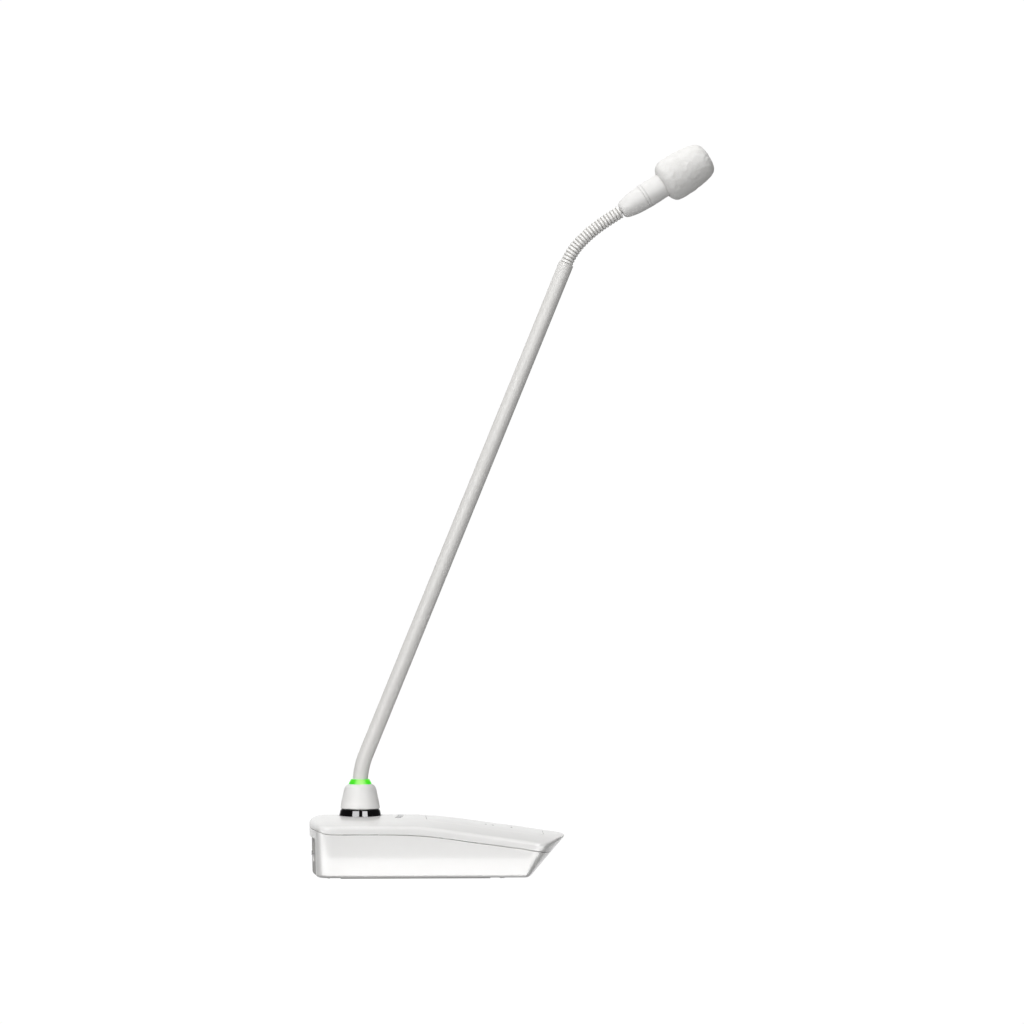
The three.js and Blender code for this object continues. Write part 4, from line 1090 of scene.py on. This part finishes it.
# ------------------------------------------------------------------ foam windscreen
foam_table = [[22.3, 6.85], [22.5, 7.35], [22.9, 8.1], [23.4, 8.8], [24.0, 9.45], [24.9, 10.03], [26.4, 10.46], [28.2, 10.7], [32.8, 10.7], [35.2, 10.5], [37.6, 10.25], [40.4, 9.9], [43.4, 9.3], [45.3, 8.7], [46.7, 7.9], [47.7, 6.8]]
prof = spline_profile(foam_table, 5) + [(6.2, 48.05), (5.6, 48.25), (5.0, 48.4), (4.2, 48.56), (3.4, 48.7), (2.6, 48.8), (1.7, 48.86), (0.9, 48.89), (0.0, 48.9)]
inner_prof = [(0.0, 42.1), (3.0, 42.05), (5.5, 41.9), (6.1, 41.4), (6.4, 40.6), (6.4, 34), (6.4, 28), (6.4, 22.6), (6.5, 22.34)]
prof = prof + inner_prof + [prof[0]]
NF = 180
ang = np.linspace(0, 2 * math.pi, NF, endpoint=False)
rng = np.random.RandomState(7)
waves = [(rng.randint(2, 26), rng.uniform(0.2, 2.6), rng.uniform(0, 6.28), rng.uniform(0, 6.28)) for _ in range(46)]
rings = []
count = len(prof)
for k, (r, z) in enumerate(prof):
    base = np.stack([r * np.cos(ang), r * np.sin(ang), np.full(NF, z)], 1)
    if 0 < k < len(spline_profile(foam_table, 5)) + 8:
        d = np.zeros(NF)
        for w, f, p1, p2 in waves:
            d += np.cos(w * ang + p1) * np.cos(f * z + p2)
        d *= 0.045 / math.sqrt(len(waves) / 4) * min(1.0, r / 5.0)
        pr = np.array([r, 0, max(0.0, (z - 44.0)) * 1.6])
        nn = np.stack([np.cos(ang) * r, np.sin(ang) * r, np.full(NF, max(0.0, (z - 42.0)) * 1.2)], 1)
        nn /= np.maximum(np.linalg.norm(nn, axis=1)[:, None], 1e-6)
        base = base + nn * (d - 0.04)[:, None]
    rings.append((np.c_[base, np.ones(NF)] @ HEAD.T)[:, :3])
s = Skin()
s.rings(rings)
foam = s.build("foam_cover", M["foam"], 60, False)
place(foam, "foam", ["windscreen"])

# ------------------------------------------------------------------ CAD nodes that stay, with their own finish
KEEP = {
    "socket_nut": ("steel", 0.25), "plug_insert": ("black", 0.12), "led_ring_board": ("board", 0.08), "stem_cable": ("black", 0.0),
    "main_circuit_board": ("board", 0.12), "battery_pack": ("battery", 1.2), "antenna_left": ("steel", 0.06), "antenna_right": ("steel", 0.06),
    "button_keypad": ("silicone", 0.15), "button_board": ("board", 0.12), "preamp_board": ("board", 0.08), "capsule": ("steel", 0.25),
}
for node, (mat, r) in KEEP.items():
    o = NODES[node]
    o.data.materials.clear()
    o.data.materials.append(M[mat])
    if r:
        b = o.modifiers.new("edges", "BEVEL")
        b.width = r * MM
        b.segments = 2
        b.limit_method = "ANGLE"
        b.angle_limit = math.radians(40)

# ------------------------------------------------------------------ floor, light, camera
scene.view_settings.view_transform = "Standard"
scene.view_settings.look = "None"


def card(name, corners, strength, colour=(1, 1, 1), glossy=True, diffuse=False, camera=False):
    mesh = bpy.data.meshes.new(name)
    mesh.from_pydata([tuple(c * MM for c in p) for p in corners], [], [(0, 1, 2, 3)])
    m = bpy.data.materials.new(name)
    m.use_nodes = True
    nt = m.node_tree
    nt.nodes.clear()
    out = nt.nodes.new("ShaderNodeOutputMaterial")
    e = nt.nodes.new("ShaderNodeEmission")
    e.inputs["Color"].default_value = (*colour, 1)
    e.inputs["Strength"].default_value = strength
    nt.links.new(e.outputs[0], out.inputs[0])
    mesh.materials.append(m)
    o = bpy.data.objects.new(name, mesh)
    scene.collection.objects.link(o)
    o.visible_camera = camera
    o.visible_diffuse = diffuse
    o.visible_glossy = glossy
    o.visible_transmission = False
    o.visible_shadow = False
    return o


floor = card("floor", [(-60000, -60000, 0), (60000, -60000, 0), (60000, 60000, 0), (-60000, 60000, 0)], 1.0, camera=True, glossy=False)
floor.data.materials[0].node_tree.nodes["Emission"].inputs["Strength"].default_value = 1.02
# bright table strip in front of the object, seen only as a reflection in its glossy lower side
card("strip", [(-400, -112, 0.5), (500, -96, 0.5), (500, -36.5, 0.5), (-400, -36.5, 0.5)], 8.0)
# light returned by the table on to the side and the undercut front
card("bounce", [(-10, -330, 0.3), (420, -330, 0.3), (420, 150, 0.3), (-10, 150, 0.3)], 0.40, glossy=False, diffuse=True)
CAM_AZ = math.radians(-2.84)


def upright(name, a0, a1, dist, z0, z1, strength):
    """Vertical reflection card between two angles from the camera's direction, seen from the socket."""
    pts = []
    for a in (a0, a1):
        t = math.radians(a)
        pts.append((math.sin(t) * dist, -math.cos(t) * dist))
    return card(name, [(pts[0][0], pts[0][1], z0), (pts[1][0], pts[1][1], z0), (pts[1][0], pts[1][1], z1), (pts[0][0], pts[0][1], z1)], strength)


upright("card_left", -46.2, -8.0, 1500, 60, 1000, 10.5)
upright("card_right", 11.6, 41.3, 1500, 60, 1000, 12.0)


def area(name, loc, target, sx, sy, power, spec=1.0):
    d = bpy.data.lights.new(name, "AREA")
    d.shape = "RECTANGLE"
    d.size, d.size_y = sx, sy
    d.energy = power
    d.specular_factor = spec
    o = bpy.data.objects.new(name, d)
    o.location = loc
    o.rotation_euler = (Vector(target) - Vector(loc)).to_track_quat("-Z", "Y").to_euler()
    scene.collection.objects.link(o)
    o.visible_camera = False
    o.visible_glossy = False
    return o


area("key", (-0.45, -0.75, 1.25), (0.03, 0, 0.12), 0.8, 0.8, 10.5, 0.3)
area("top", (0.0, 0.1, 1.5), (0.03, 0, 0.1), 1.1, 1.1, 6.5, 0.3)
area("front", (-0.1, -1.7, 0.4), (0.05, 0, 0.12), 0.9, 0.7, 6.5, 0.2)
area("left", (-1.4, -0.9, 0.5), (0.05, 0, 0.15), 0.7, 0.7, 3.0, 0.1)

world = bpy.data.worlds.new("studio")
scene.world = world
world.use_nodes = True
nt = world.node_tree
nt.nodes.clear()
out = nt.nodes.new("ShaderNodeOutputWorld")
path = nt.nodes.new("ShaderNodeLightPath")
where = nt.nodes.new("ShaderNodeTexCoord")
parts = nt.nodes.new("ShaderNodeSeparateXYZ")
nt.links.new(where.outputs["Generated"], parts.inputs[0])
behind = remap(nt, parts.outputs["Y"], 0.80, 0.95, 0.09, 1.0)
bgs = []
for strength in (1.02, 0.26, 0.05):
    b = nt.nodes.new("ShaderNodeBackground")
    b.inputs["Color"].default_value = (1, 1, 1, 1)
    b.inputs["Strength"].default_value = strength
    bgs.append(b)
nt.links.new(behind, bgs[2].inputs["Strength"])
mix1 = nt.nodes.new("ShaderNodeMixShader")
mix2 = nt.nodes.new("ShaderNodeMixShader")
nt.links.new(path.outputs["Is Diffuse Ray"], mix1.inputs[0])
nt.links.new(bgs[2].outputs[0], mix1.inputs[1])
nt.links.new(bgs[1].outputs[0], mix1.inputs[2])
nt.links.new(path.outputs["Is Camera Ray"], mix2.inputs[0])
nt.links.new(mix1.outputs[0], mix2.inputs[1])
nt.links.new(bgs[0].outputs[0], mix2.inputs[2])
nt.links.new(mix2.outputs[0], out.inputs[0])

cam_data = bpy.data.cameras.new("camera")
cam_data.sensor_width = 36.0
cam_data.lens = 182.1
cam_data.clip_start, cam_data.clip_end = 0.05, 200
cam = bpy.data.objects.new("camera", cam_data)
scene.collection.objects.link(cam)
cam.location = (-0.0508, -2.5155, 0.176)
aim = Vector((0.0738, 0.0, 0.176))
cam.rotation_euler = (aim - Vector(cam.location)).to_track_quat("-Z", "Y").to_euler()
scene.camera = cam
